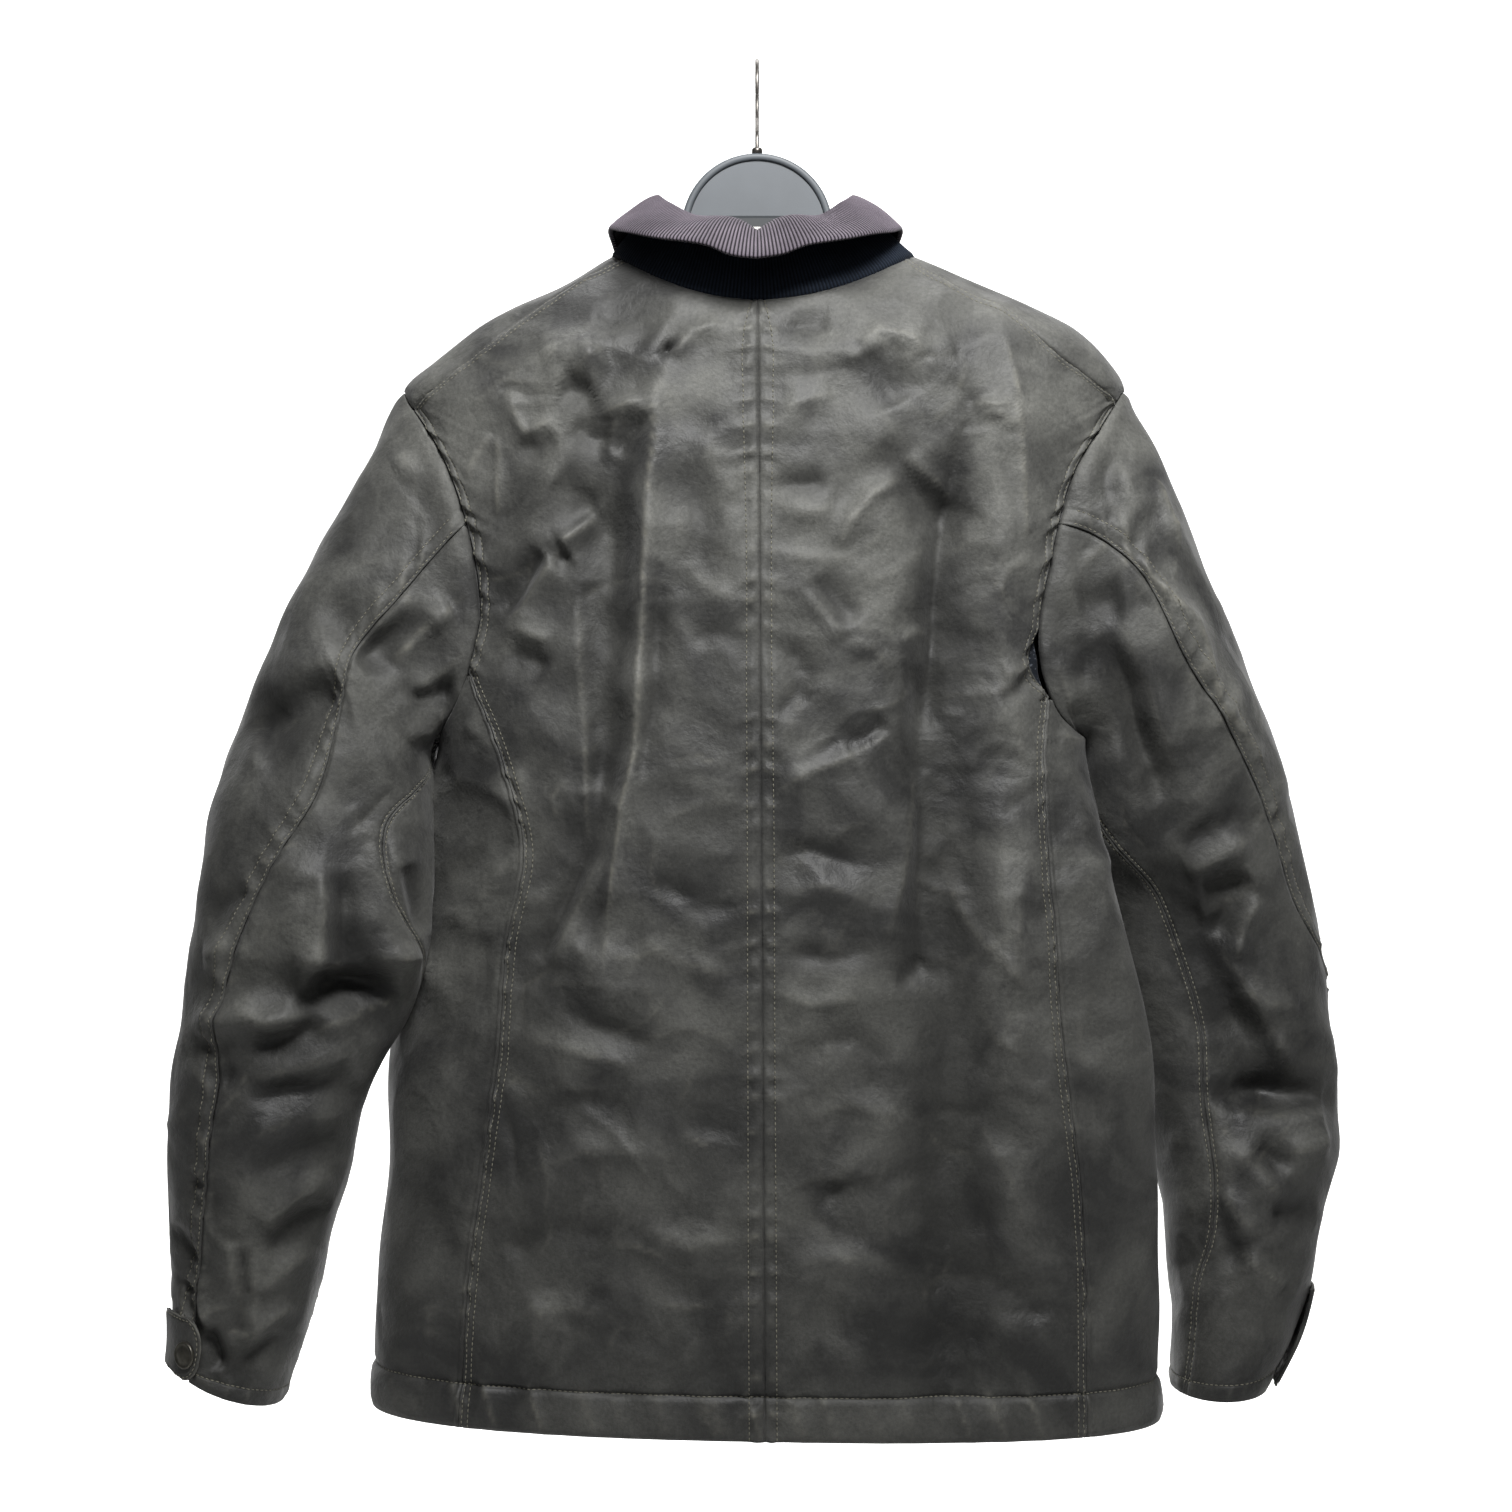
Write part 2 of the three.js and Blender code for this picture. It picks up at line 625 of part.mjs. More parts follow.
// The armhole's rim, a seam's gap outside the trunk's panels, with the panels' normal. The gap is
// eased under the arm, where the sleeve folds sharply down beside the trunk.
const UNDERARM_EASE = 1.6;
function armholeRim(side, turn) {
  const wrapped = THREE.MathUtils.euclideanModulo(turn + 180, 360) - 180 || 0.001;
  const at = (degrees) =>
    trunk(sideAngle(side, armholeAngle(side, degrees)), armholeLevel(degrees));
  const before = THREE.MathUtils.euclideanModulo(wrapped - 1 + 180, 360) - 180;
  const after = THREE.MathUtils.euclideanModulo(wrapped + 1 + 180, 360) - 180;
  const run = at(after).sub(at(before)).normalize();
  const angle = sideAngle(side, armholeAngle(side, wrapped));
  const normal = trunkNormal(angle, armholeLevel(wrapped));
  const intoHole = run.cross(normal).multiplyScalar(-SIDES[side].sign).normalize();
  const gap = SEAM + UNDERARM_EASE * (wrapped / 180) ** 6;
  return { point: at(wrapped).addScaledVector(intoHole, gap), normal };
}

function sleeve(side, turn, place) {
  const point = sleeveForm(side, turn, place);
  const back = Math.sin(turn * DEGREE);
  const settled = THREE.MathUtils.clamp(place / SLEEVE_JOIN, 0, 1);
  const height = foldHeight(SLEEVE_FOLDS[side], point.x, point.z);
  const facing = THREE.MathUtils.clamp(back * 2, 0, 1) * settled;
  const normal = sleeveFormNormal(side, turn, place);
  return point.addScaledVector(normal, height * facing);
}
const TURN_STEP = 1;
const PLACE_STEP = 0.005;
const safePlace = (place) => THREE.MathUtils.clamp(place, PLACE_STEP, 1 - PLACE_STEP);
const sleeveFormNormal = (side, turn, place) =>
  normalOf(
    (first, second) => sleeveForm(side, first, second), turn, safePlace(place), TURN_STEP, PLACE_STEP,
  ).multiplyScalar(SIDES[side].sign);
const sleeveNormal = (side, turn, place) =>
  normalOf(
    (first, second) => sleeve(side, first, second), turn, safePlace(place), TURN_STEP, PLACE_STEP,
  ).multiplyScalar(SIDES[side].sign);

// A sleeve's panels run from one seam to the other. Their top points are the armhole's own.
function sleevePanel(side, part) {
  const turns = armholeTurns(side);
  const at = (column) => (place) =>
    along(sleeveRows[side], 'row', column, place * SLEEVE_SPANS);
  const elbow = at('elbow');
  const under = at('under');
  const girth = (place) => at('depth')(place) * DEGREE;
  const gap = (place) => SEAM / girth(place);
  const rim =
    part === 'under'
      ? joined(turns.lower, turns.under)
      : joined(upwards(joined(turns.top, turns.upper)), turns.front);
  const from = (place) => elbow(place) + (part === 'under' ? gap(place) : -gap(place));
  const to = (place) =>
    part === 'under' ? under(place) - gap(place) : under(place) - 360 + gap(place);
  const rows = steps(0, 1, SLEEVE_RINGS - 1);
  const count = rim.length - 1;
  const span = rim[count] - rim[0];
  const shares = (row) => {
    const settled = THREE.MathUtils.clamp(rows[row] / SLEEVE_JOIN / 2, 0, 1);
    return rim.map((turn, index) => {
      const share = (turn - rim[0]) / span;
      return share + (index / count - share) * settled;
    });
  };
  const override = (row, column) => {
    if (row > 0) {
      return undefined;
    }
    const inset = column === 0 ? from(0) - elbow(0) : column === count ? to(0) - rim[count] : 0;
    const { normal } = armholeRim(side, rim[column]);
    return { point: armholeRim(side, rim[column] + inset).point, normal };
  };
  const seamTurn = (turn, place) => {
    const lines = [elbow(place), under(place), under(place) - 360];
    return lines.find((line) => Math.abs(line - turn) < 1.5 * gap(place)) ?? turn;
  };
  const sheet = patch(
    (turn, place) => sleeve(side, turn, place),
    (turn, place) => sleeveNormal(side, seamTurn(turn, place), place),
    [{ rows, from, to, shares, override }],
    (part === 'under') === SIDES[side].sign < 0,
  );
  wall(`sleeve_${side}_${part}`, sheet, CLOTH, COLOURS.waxedCotton);
}

// The strip of lining behind the seam that has come open.
const LINING_STRIP = { rows: steps(RIP.low + 2, RIP.high + 4, 5), inside: 14, columns: 3 };
function armholeLining() {
  const { armholeBack } = seams('right');
  const inside = (level) =>
    armholeBack(level) -
    (2 * LINING_STRIP.inside * seamAngle('right', armholeBack(level), level)) / SEAM;
  const strip = patch(
    trunk,
    trunkNormal,
    [
      {
        rows: LINING_STRIP.rows,
        from: inside,
        to: armholeBack,
        shares: evenly(LINING_STRIP.columns),
      },
    ],
    false,
  );
  wall('armhole_lining_right', strip, LINING, COLOURS.lining, -(CLOTH + 5 * SEAM));
}

// The neck's points are those of the panels' top edges, so that the stand sits on them.
function neckAngles() {
  const half = (side) => {
    const seam = seams(side);
    return joined(
      steps(seam.centre(NECK), seam.shoulderSeam(NECK), BACK_COLUMNS),
      steps(seam.shoulderSeam(NECK), Math.PI / 2, SHOULDER_COLUMNS),
      steps(Math.PI / 2, flyAngle(side)(NECK), FRONT_COLUMNS),
      [0, frontEdge(side)(NECK)],
    );
  };
  const left = upwards(half('left')).map((angle) => -angle);
  return joined(left, half('right'));
}

// The roll is the collar's top line, an oval whose height the table gives.
function roll(angle) {
  const across = Math.sin(angle);
  const depth = Math.cos(angle);
  const wide = across < 0 ? ROLL.left : ROLL.right;
  const deep = depth > 0 ? ROLL.back : ROLL.front;
  const height = along(COLLAR, 'turn', 'roll', Math.abs(angle) / DEGREE);
  const point = new THREE.Vector3(across * wide, -depth * deep, height);
  const outward = new THREE.Vector3(across / wide, -depth / deep, 0).normalize();
  return { point, outward };
}

// The stand leans in from the neck seam to just under the fall, which is lower where it is steeper.
const STAND_TOP = 5;
const STAND_TOP_STEEP = 0.045;
function standPoint(angle, share) {
  const foot = trunk(angle, NECK);
  const upAlong = foot.clone().sub(trunk(angle, NECK - LEVEL_STEP)).normalize();
  foot.addScaledVector(upAlong, SEAM);
  const { point } = roll(angle);
  const drop = along(COLLAR, 'turn', 'drop', Math.abs(angle) / DEGREE);
  point.z -= STAND_TOP + STAND_TOP_STEEP * drop;
  return foot.lerp(point, share);
}

function collarStand() {
  const angles = neckAngles();
  const rows = [0, 0.33, 0.67, 1];
  const count = angles.length - 1;
  const byIndex = (index) => angles[Math.round(index)];
  const sheet = patch(
    (index, share) => standPoint(byIndex(index), share),
    (index, share) => normalOf(standPoint, byIndex(index), share, ANGLE_STEP, 0.02),
    [
      {
        rows,
        from: () => 0,
        to: () => count,
        shares: () => steps(0, 1, count),
        override: (row, column) =>
          row === 0
            ? { point: standPoint(angles[column], 0), normal: trunkNormal(angles[column], NECK) }
            : undefined,
      },
    ],
    false,
  );
  wall('collar_stand', sheet, CORDUROY, COLOURS.corduroy);
}

// The fall starts over the stand's inner face, turns over the roll and reaches out and down.
const FALL_CURVE = 1.4;
function fallPoint(angle, share) {
  const { point, outward } = roll(angle);
  const at = (column) => along(COLLAR, 'turn', column, Math.abs(angle) / DEGREE);
  point.addScaledVector(outward, (at('reach') + CORDUROY) * share - CORDUROY);
  point.z -= at('drop') * share ** FALL_CURVE;
  return point;
}

function collarFall() {
  const end = FALL_END * DEGREE;
  const between = neckAngles().filter((angle) => Math.abs(angle) < end - 0.05);
  const angles = [-end, ...between, end];
  const count = angles.length - 1;
  const byIndex = (index) => angles[Math.round(index)];
  const sheet = patch(
    (index, share) => fallPoint(byIndex(index), 1 - share),
    (index, share) => normalOf(
      (angle, upShare) => fallPoint(angle, 1 - upShare),
      byIndex(index), THREE.MathUtils.clamp(share, 0.02, 0.98), ANGLE_STEP, 0.02,
    ),
    [{ rows: steps(0, 1, 5), from: () => 0, to: () => count, shares: () => steps(0, 1, count) }],
    false,
  );
  wall('collar_fall', sheet, CORDUROY, COLOURS.corduroy);
}

// The neck label hangs inside the roll, with its top edge in the dip at the middle of the back.
const LABEL = { turn: 11, top: -114, low: -146, thick: 0.8 };
function neckLabel() {
  const place = (angle, height) => {
    const { point, outward } = roll(angle);
    point.addScaledVector(outward, -(CORDUROY + 3 * SEAM));
    point.z = height;
    return point;
  };
  const sheet = patch(
    place,
    (angle) => roll(angle).outward,
    [
      {
        rows: [LABEL.low, LABEL.top],
        from: () => -LABEL.turn * DEGREE,
        to: () => LABEL.turn * DEGREE,
        shares: evenly(4),
      },
    ],
    false,
  );
  wall('neck_label', sheet, LABEL.thick, COLOURS.labelTape);
}

// A cuff tab lies over the end of the elbow seam. One end is round, the other runs into the seam's
// facing, and the snap cap sits near the round end.
const CUFF_TABS = {
  left: { from: 28, to: 74, low: 0.995, high: 0.87, snapTurn: 60, snapPlace: 0.935, snapGap: 0.9 },
  right: { from: 22, to: -26, low: 0.995, high: 0.87, snapTurn: -12, snapPlace: 0.935, snapGap: 0.3 },
};
const TAB_GAP = 0.9; // between the sleeve and its tab
function cuffTab(side) {
  const tab = CUFF_TABS[side];
  const middle = (tab.low + tab.high) / 2;
  const roundEnd = (place) => {
    const off = Math.abs(place - middle) / (tab.low - middle);
    return tab.from + (tab.to - tab.from) * (0.6 + 0.4 * Math.sqrt(Math.max(0, 1 - off ** 3)));
  };
  const runsUp = tab.to > tab.from;
  const sheet = patch(
    (turn, place) => sleeve(side, turn, place),
    (turn, place) => sleeveNormal(side, turn, place),
    [
      {
        rows: steps(tab.high, tab.low, 8),
        from: () => tab.from,
        to: roundEnd,
        shares: evenly(5),
      },
    ],
    runsUp === SIDES[side].sign < 0,
  );
  wall(`cuff_tab_${side}`, sheet, CLOTH, COLOURS.waxedCotton, CLOTH + TAB_GAP);
  const normal = sleeveNormal(side, tab.snapTurn, tab.snapPlace);
  const lift = CLOTH + TAB_GAP + tab.snapGap;
  const point = sleeve(side, tab.snapTurn, tab.snapPlace).addScaledVector(normal, lift);
  snapCap(`cuff_snap_${side}`, point, normal);
}

// A solid through a row of rings of points, with flat ends.
function loft(name, rings, material) {
  const around = rings[0].length;
  const triangles = [];
  for (let ring = 0; ring + 1 < rings.length; ring += 1) {
    for (let side = 0; side < around; side += 1) {
      const next = (side + 1) % around;
      const [a, b] = [ring * around + side, ring * around + next];
      triangles.push([a, b, b + around], [a, b + around, a + around]);
    }
  }
  const end = (rings.length - 1) * around;
  for (let side = 1; side + 1 < around; side += 1) {
    triangles.push([0, side + 1, side], [end, end + side, end + side + 1]);
  }
  solid(name, rings.flat(), triangles, material);
}

// The hanger's arms run along X inside the shoulders: a bar with its edges taken off.
const BAR_EDGE = 2;
function hangerBody() {
  const stations = [...upwards(HANGER).map((row) => ({ ...row, x: -row.out })),
    ...HANGER.slice(1).map((row) => ({ ...row, x: row.out }))];
  const rings = stations.map(({ x, top, half, tall }) => {
    const foot = top - tall;
    const corners = [
      [half - BAR_EDGE, foot],
      [half, foot + BAR_EDGE],
      [half, top - BAR_EDGE],
      [half - BAR_EDGE, top],
      [BAR_EDGE - half, top],
      [-half, top - BAR_EDGE],
      [-half, foot + BAR_EDGE],
      [BAR_EDGE - half, foot],
    ];
    return corners.map(([y, z]) => new THREE.Vector3(x, y, z));
  });
  loft('hanger_body', rings, COLOURS.armPlastic);
}

// The half-round plate stands on the hanger's middle, with a thicker rim round its arc.
const DISC_SEGMENTS = 28;
function hangerDisc() {
  const chordTurn = (radius) => Math.asin((DISC.foot - DISC.centre) / radius);
  const upright = (name, shape, thick) => {
    const geometry = new THREE.ExtrudeGeometry(shape, {
      depth: thick,
      bevelEnabled: false,
      curveSegments: DISC_SEGMENTS,
    });
    geometry.rotateX(Math.PI / 2);
    geometry.translate(0, thick / 2, 0);
    add(name, geometry, COLOURS.discPlastic);
  };
  const inner = DISC.radius - DISC.rim;
  const plate = new THREE.Shape();
  const plateRadius = inner - SEAM;
  const plateTurn = chordTurn(plateRadius);
  plate.absarc(0, DISC.centre, plateRadius, plateTurn, Math.PI - plateTurn, false);
  upright('hanger_disc', plate, DISC.thick);
  const rim = new THREE.Shape();
  rim.absarc(0, DISC.centre, DISC.radius, chordTurn(DISC.radius), Math.PI - chordTurn(DISC.radius));
  rim.absarc(0, DISC.centre, inner, Math.PI - chordTurn(inner), chordTurn(inner), true);
  upright('hanger_rim', rim, DISC.rimThick);
}

// The hook is one round wire, in the plane of depth: a stem, then most of a circle over the rail.
const HOOK_TURNS = steps(-50, 200, 20);
const WIRE_SIDES = 4; // in each half of the round
function hook() {
  const middle = WIRE - HOOK_RADIUS;
  const foot = DISC.centre + DISC.radius + SEAM;
  const stem = [
    [0, foot],
    [0, foot + 6],
    [1.5, foot + 12.5],
    [6, foot + 18],
  ];
  const circle = HOOK_TURNS.map((turn) => [
    HOOK_RADIUS * Math.cos(turn * DEGREE),
    middle + HOOK_RADIUS * Math.sin(turn * DEGREE),
  ]);
  const path = new THREE.CatmullRomCurve3(
    [...stem, ...circle].map(([y, z]) => new THREE.Vector3(0, y, z)),
  );
  const section = new THREE.Shape();
  section.absarc(0, 0, WIRE, 0, 2 * Math.PI, false);
  const geometry = new THREE.ExtrudeGeometry(section, {
    steps: 40,
    curveSegments: WIRE_SIDES,
    extrudePath: path,
  });
  add('hook', geometry, COLOURS.wire);
  const bore = WIRE + SEAM;
  const ring = [
    [bore, 0],
    [bore + 1.9, 0],
    [bore + 1.9, 2.8],
    [bore + 1, 4],
    [bore, 4],
    [bore, 0],
  ].map(([radius, height]) => new THREE.Vector2(radius, height));
  const collar = new THREE.LatheGeometry(ring, SNAP_SIDES);
  collar.rotateX(Math.PI / 2);
  collar.translate(0, 0, foot);
  add('hook_collar', collar, COLOURS.wire);
}

for (const side of ['left', 'right']) {
  backPanel(side);
  frontPanel(side);
  sleevePanel(side, 'outer');
  sleevePanel(side, 'under');
  cuffTab(side);
}
armholeLining();
frontFly();
flySnaps();
collarStand();
collarFall();
neckLabel();
hangerBody();
hangerDisc();
hook();

export default jacket;
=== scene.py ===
import math

import bpy
import numpy as np
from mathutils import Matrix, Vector


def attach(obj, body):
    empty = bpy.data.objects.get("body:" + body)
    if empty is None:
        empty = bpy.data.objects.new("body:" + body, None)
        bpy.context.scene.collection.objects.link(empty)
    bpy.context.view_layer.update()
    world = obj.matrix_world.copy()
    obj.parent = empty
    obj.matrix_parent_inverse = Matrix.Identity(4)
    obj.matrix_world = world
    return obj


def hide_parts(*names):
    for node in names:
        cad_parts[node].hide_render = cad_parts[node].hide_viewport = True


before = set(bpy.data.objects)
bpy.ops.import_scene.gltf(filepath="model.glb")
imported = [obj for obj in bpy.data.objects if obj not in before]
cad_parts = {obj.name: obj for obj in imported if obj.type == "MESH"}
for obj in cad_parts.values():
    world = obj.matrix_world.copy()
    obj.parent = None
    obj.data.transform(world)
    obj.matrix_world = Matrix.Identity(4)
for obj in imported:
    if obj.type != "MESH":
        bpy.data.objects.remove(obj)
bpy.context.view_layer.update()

# CAMERA AND STUDIO
# The jacket is seen from behind, level with its middle, from one and a half metres away.
# A matt white sweep of paper stands behind and under it, lit by large soft lamps from above.
camera = bpy.data.objects.new("camera", bpy.data.cameras.new("camera"))
bpy.context.scene.collection.objects.link(camera)
bpy.context.scene.camera = camera
camera.location = (-0.0007, -1.5, -0.45)
camera.rotation_euler = (math.pi / 2, 0, 0)
camera.data.sensor_width = 36
camera.data.lens = 54.95


def linear(colour):
    """sRGB hex to linear light: value / 12.92 in the darkest part, else ((value + 0.055) / 1.055) ^ 2.4."""
    parts = np.array([int(colour[i:i + 2], 16) / 255 for i in (1, 3, 5)])
    return (*np.where(parts <= 0.04045, parts / 12.92, ((parts + 0.055) / 1.055) ** 2.4), 1)


def new_material(name):
    """An empty node material with its output, and the function that adds a node to it: settings go in by
    name, and inputs by name or number, as a value or as another node's socket."""
    material = bpy.data.materials.new(name)
    material.use_nodes = True
    nodes, links = material.node_tree.nodes, material.node_tree.links
    nodes.clear()

    def add(kind, inputs=(), **settings):
        node = nodes.new(kind)
        for key, value in settings.items():
            setattr(node, key, value)
        for key, value in dict(inputs).items():
            if isinstance(value, bpy.types.NodeSocket):
                links.new(value, node.inputs[key])
            else:
                node.inputs[key].default_value = value
        return node

    return material, add


def grid_mesh(name, points, closed=False, smooth=True):
    """A mesh in metres from a grid of points in millimetres: four neighbours make a face."""
    rows, columns = points.shape[:2]
    index = np.arange(rows * columns).reshape(rows, columns)
    if closed:
        index = np.hstack([index, index[:, :1]])
    faces = np.stack([index[:-1, :-1], index[:-1, 1:], index[1:, 1:], index[1:, :-1]], -1).reshape(-1, 4)
    return faces_mesh(name, points.reshape(-1, 3), faces, smooth)


def faces_mesh(name, points, faces, smooth=True):
    """An object from points in millimetres and faces of four corners, put into the scene. Corners in
    one place are merged, and a face that loses one becomes a triangle."""
    corners, merged = np.unique(np.round(points, 4), axis=0, return_inverse=True)
    faces = merged.reshape(-1)[faces]
    distinct = faces != np.roll(faces, 1, axis=1)
    whole = distinct.sum(axis=1)
    polygons = faces[whole == 4].tolist()
    polygons += faces[whole == 3][distinct[whole == 3]].reshape(-1, 3).tolist()
    mesh = bpy.data.meshes.new(name)
    mesh.from_pydata((corners * 0.001).tolist(), [], polygons)
    mesh.shade_smooth() if smooth else mesh.shade_flat()
    piece = bpy.data.objects.new(name, mesh)
    bpy.context.scene.collection.objects.link(piece)
    return piece, merged.reshape(-1)


across = np.linspace(-3.6, 3.6, 13) * 1000
floor_line = np.array([[-2.9, -1.5], [0.2, -1.5], [1.6, -1.5]]) * 1000
wall_line = np.array([[1.6, -1.5], [2.3, -1.42], [2.7, -1.2], [2.9, -0.8], [2.9, 3.2]]) * 1000
# Matt paper: white without a shine, so that the eye sees no edge behind the jacket.
paper_white, add = new_material("matt white background paper")
lit = add("ShaderNodeBsdfPrincipled", {"Base Color": linear("#fbfbfa"), "Roughness": 0.95,
                                       "Emission Color": linear("#ffffff"), "Emission Strength": 0.8})
add("ShaderNodeOutputMaterial", {"Surface": lit.outputs[0]})
paper_floor, add = new_material("matt pale floor paper")
matt = add("ShaderNodeBsdfPrincipled", {"Base Color": linear("#d8d8d6"), "Roughness": 0.95})
add("ShaderNodeOutputMaterial", {"Surface": matt.outputs[0]})
for name, line, material in (("paper_floor", floor_line, paper_floor),
                             ("paper_wall", wall_line, paper_white)):
    paper, _ = grid_mesh(name, np.stack(np.broadcast_arrays(across[None, :], line[:, :1], line[:, 1:]), -1))
    paper.data.materials.append(material)


def soft_lamp(name, place, aim, size, power):
    """A square lamp of that size in metres, turned so that it faces the point aimed at."""
    lamp = bpy.data.objects.new(name, bpy.data.lights.new(name, "AREA"))
    bpy.context.scene.collection.objects.link(lamp)
    lamp.location = place
    lamp.rotation_euler = (Vector(aim) - Vector(place)).to_track_quat("-Z", "Y").to_euler()
    lamp.data.size = size
    lamp.data.energy = power
    return lamp


soft_lamp("key_above", (0.14, -0.88, 0.58), (0.04, 0, -0.32), 0.4, 27)
soft_lamp("fill_front", (0.3, -2.6, 0.3), (0, 0, -0.45), 0.9, 4)
soft_lamp("paper_light", (0.0, 1.2, 2.2), (0, 2.9, -0.4), 1.4, 60)
world = bpy.data.worlds.new("studio")
bpy.context.scene.world = world
world.use_nodes = True
world.node_tree.nodes["Background"].inputs[0].default_value = linear("#f4f6f8")
world.node_tree.nodes["Background"].inputs[1].default_value = 0.1
bpy.context.scene.view_settings.view_transform = "Standard"

# BACK, LEFT AND RIGHT
# The back is cut in two from cotton cloth soaked in wax, and felled together down the middle with two
# rows of stitches. It falls in soft folds from the shoulders, with creases that the wax keeps.


def table(columns, rows):
    """A table's rows as one array for each named column."""
    return dict(zip(columns.split(), np.array(rows, float).T))


HEM, HEM_STITCH, UNDERARM, SHOULDER_TIP, NECK = -871, -844, -440, -215, -127
CLOTH = 2.4
SEAM = 0.3
TRUNK = table("level left right back front corner leanLeft leanRight dipBack dipFront tilt", [
    [HEM, 249, 261, 84, 76, 2.5, 0, 0, 0, 0, 5],
    [HEM_STITCH, 248, 260, 84, 76, 2.5, 0, 0, 0, 0, 5],
    [-780, 245, 259, 84, 76, 2.5, 6, -5, 0, 0, 3],
    [-710, 241, 256, 84, 76, 2.5, 15, -14, 0, 0, 1],
    [-650, 242, 252, 85, 76, 2.5, 29, -26, 0, 0, 0],
    [-600, 237, 243, 86, 76, 2.5, 44, -36, 0, 0, 0],
    [-550, 231, 229, 87, 77, 2.5, 46, -36, 0, 0, 0],
    [-500, 224, 219, 88, 78, 2.5, 34, -24, 0, 0, 0],
    [UNDERARM, 208, 210, 89, 79, 2.45, 3, -2, 0, 0, 0],
    [-380, 206, 208, 88, 79, 2.4, 0, 0, 0, 0, 0],
    [-320, 214, 217, 86, 78, 2.4, 0, 0, 0, 0, 0],
    [-260, 224, 229, 83, 76, 2.45, 0, 0, 5, 12, 0],
    [SHOULDER_TIP, 228, 237, 80, 74, 2.48, 0, 0, 13, 28, 0],
    [-197, 211, 227, 78.5, 73, 2.55, 0, 0, 18, 38, 0],
    [-176, 183, 206, 77, 72, 2.6, 0, 0, 24, 48, 0],
    [-162, 157, 181, 75, 71, 2.55, 0, 0, 29, 57, 0],
    [-150, 133, 156, 73, 70, 2.45, 0, 0, 33, 65, 0],
    [-137, 111, 127, 70, 68, 2.25, 0, 0, 37, 73, 0],
    [NECK, 95, 103, 65, 66, 2, 0, 0, 39, 78, 0]])


def between(rows, key, column, at):
    """A table's column between its rows: cubic Hermite, with each row's slope taken over its neighbours."""
    x, y = rows[key], rows[column]
    last = len(x) - 1
    before, after = np.maximum(np.arange(last + 1) - 1, 0), np.minimum(np.arange(last + 1) + 1, last)
    slope = (y[after] - y[before]) / (x[after] - x[before])
    low = np.clip(np.searchsorted(x, at) - 1, 0, last - 1)
    span = x[low + 1] - x[low]
    t = np.clip((at - x[low]) / span, 0, 1)
    return (y[low] * (2 * t**3 - 3 * t**2 + 1) + y[low + 1] * (3 * t**2 - 2 * t**3)
            + slope[low] * span * (t**3 - 2 * t**2 + t) + slope[low + 1] * span * (t**3 - t**2))


def trunk_form(angle, level):
    """The trunk's rings: x = half-width * |sin|^(2 / corner), y = -half-depth * |cos|^(2 / corner) plus a
    lean at the sides, z = level less a dip at the middle and a tilt. Angle 0 is the middle of the back."""
    sine, cosine = np.sin(angle), np.cos(angle)
    power = 2 / between(TRUNK, "level", "corner", level)
    left, back = sine < 0, cosine > 0
    at = lambda is_first, first, second: np.where(
        is_first, between(TRUNK, "level", first, level), between(TRUNK, "level", second, level))
    x = np.sign(sine) * np.abs(sine) ** power * at(left, "left", "right")
    y = -np.sign(cosine) * np.abs(cosine) ** power * at(back, "back", "front")
    y = y + at(left, "leanLeft", "leanRight") * sine**4
    z = level - at(back, "dipBack", "dipFront") * cosine**2
    return np.stack(np.broadcast_arrays(
        x, y, z - between(TRUNK, "level", "tilt", level) * x / between(TRUNK, "level", "right", level)), -1)


def unit(vectors):
    """Vectors divided by their lengths."""
    return vectors / np.maximum(np.linalg.norm(vectors, axis=-1, keepdims=True), 1e-9)


def normal_of(form, first, second, step_first, step_second):
    """A form's outward normal: the cross product of its slopes along its two parameters."""
    along_first = form(first + step_first, second) - form(first - step_first, second)
    along_second = form(first, second + step_second) - form(first, second - step_second)
    return unit(np.cross(along_first, along_second))


def trunk_normal(angle, level):
    """The trunk's outward normal, taken just inside its top and bottom edges."""
    return normal_of(trunk_form, angle, np.clip(level, HEM + 2, NECK - 2), 0.01, 2)


def crease_relief(creases, x, z):
    """Height and wear of creases at points of the view. Each is a line through its points, and its height
    falls off from it as exp(-(distance / width)^1.5), and towards its ends as 1 - (2 * share - 1)^4.
    Wear is a pale line 1.3 mm wide along the crest, times the crease's own wear."""
    height, worn = np.zeros(x.shape), np.zeros(x.shape)
    for wide, high, pale, *path in creases:
        path = np.array(path, float).reshape(-1, 2)
        low, top = path.min(axis=0) - 2.2 * wide, path.max(axis=0) + 2.2 * wide
        near = (x > low[0]) & (x < top[0]) & (z > low[1]) & (z < top[1])
        if not near.any():
            continue
        point = np.stack([x[near], z[near]], -1)
        runs = np.diff(path, axis=0)
        lengths = np.linalg.norm(runs, axis=1)
        starts = np.concatenate([[0], np.cumsum(lengths)])
        best, place = np.full(len(point), 1e9), np.zeros(len(point))
        for start, run, length, before in zip(path, runs, lengths, starts):
            share = np.clip((point - start) @ run / length**2, 0, 1)
            far = np.linalg.norm(point - start - share[:, None] * run, axis=1)
            nearer = far < best
            best = np.where(nearer, far, best)
            place = np.where(nearer, (before + share * length) / starts[-1], place)
        taper = 1 - np.abs(2 * place - 1) ** 4
        height[near] += 1.5 * high * taper * np.exp(-((best / wide) ** 1.5))
        worn[near] += 0.6 * pale * taper * np.exp(-((best / 1.3) ** 2))
    return height, worn


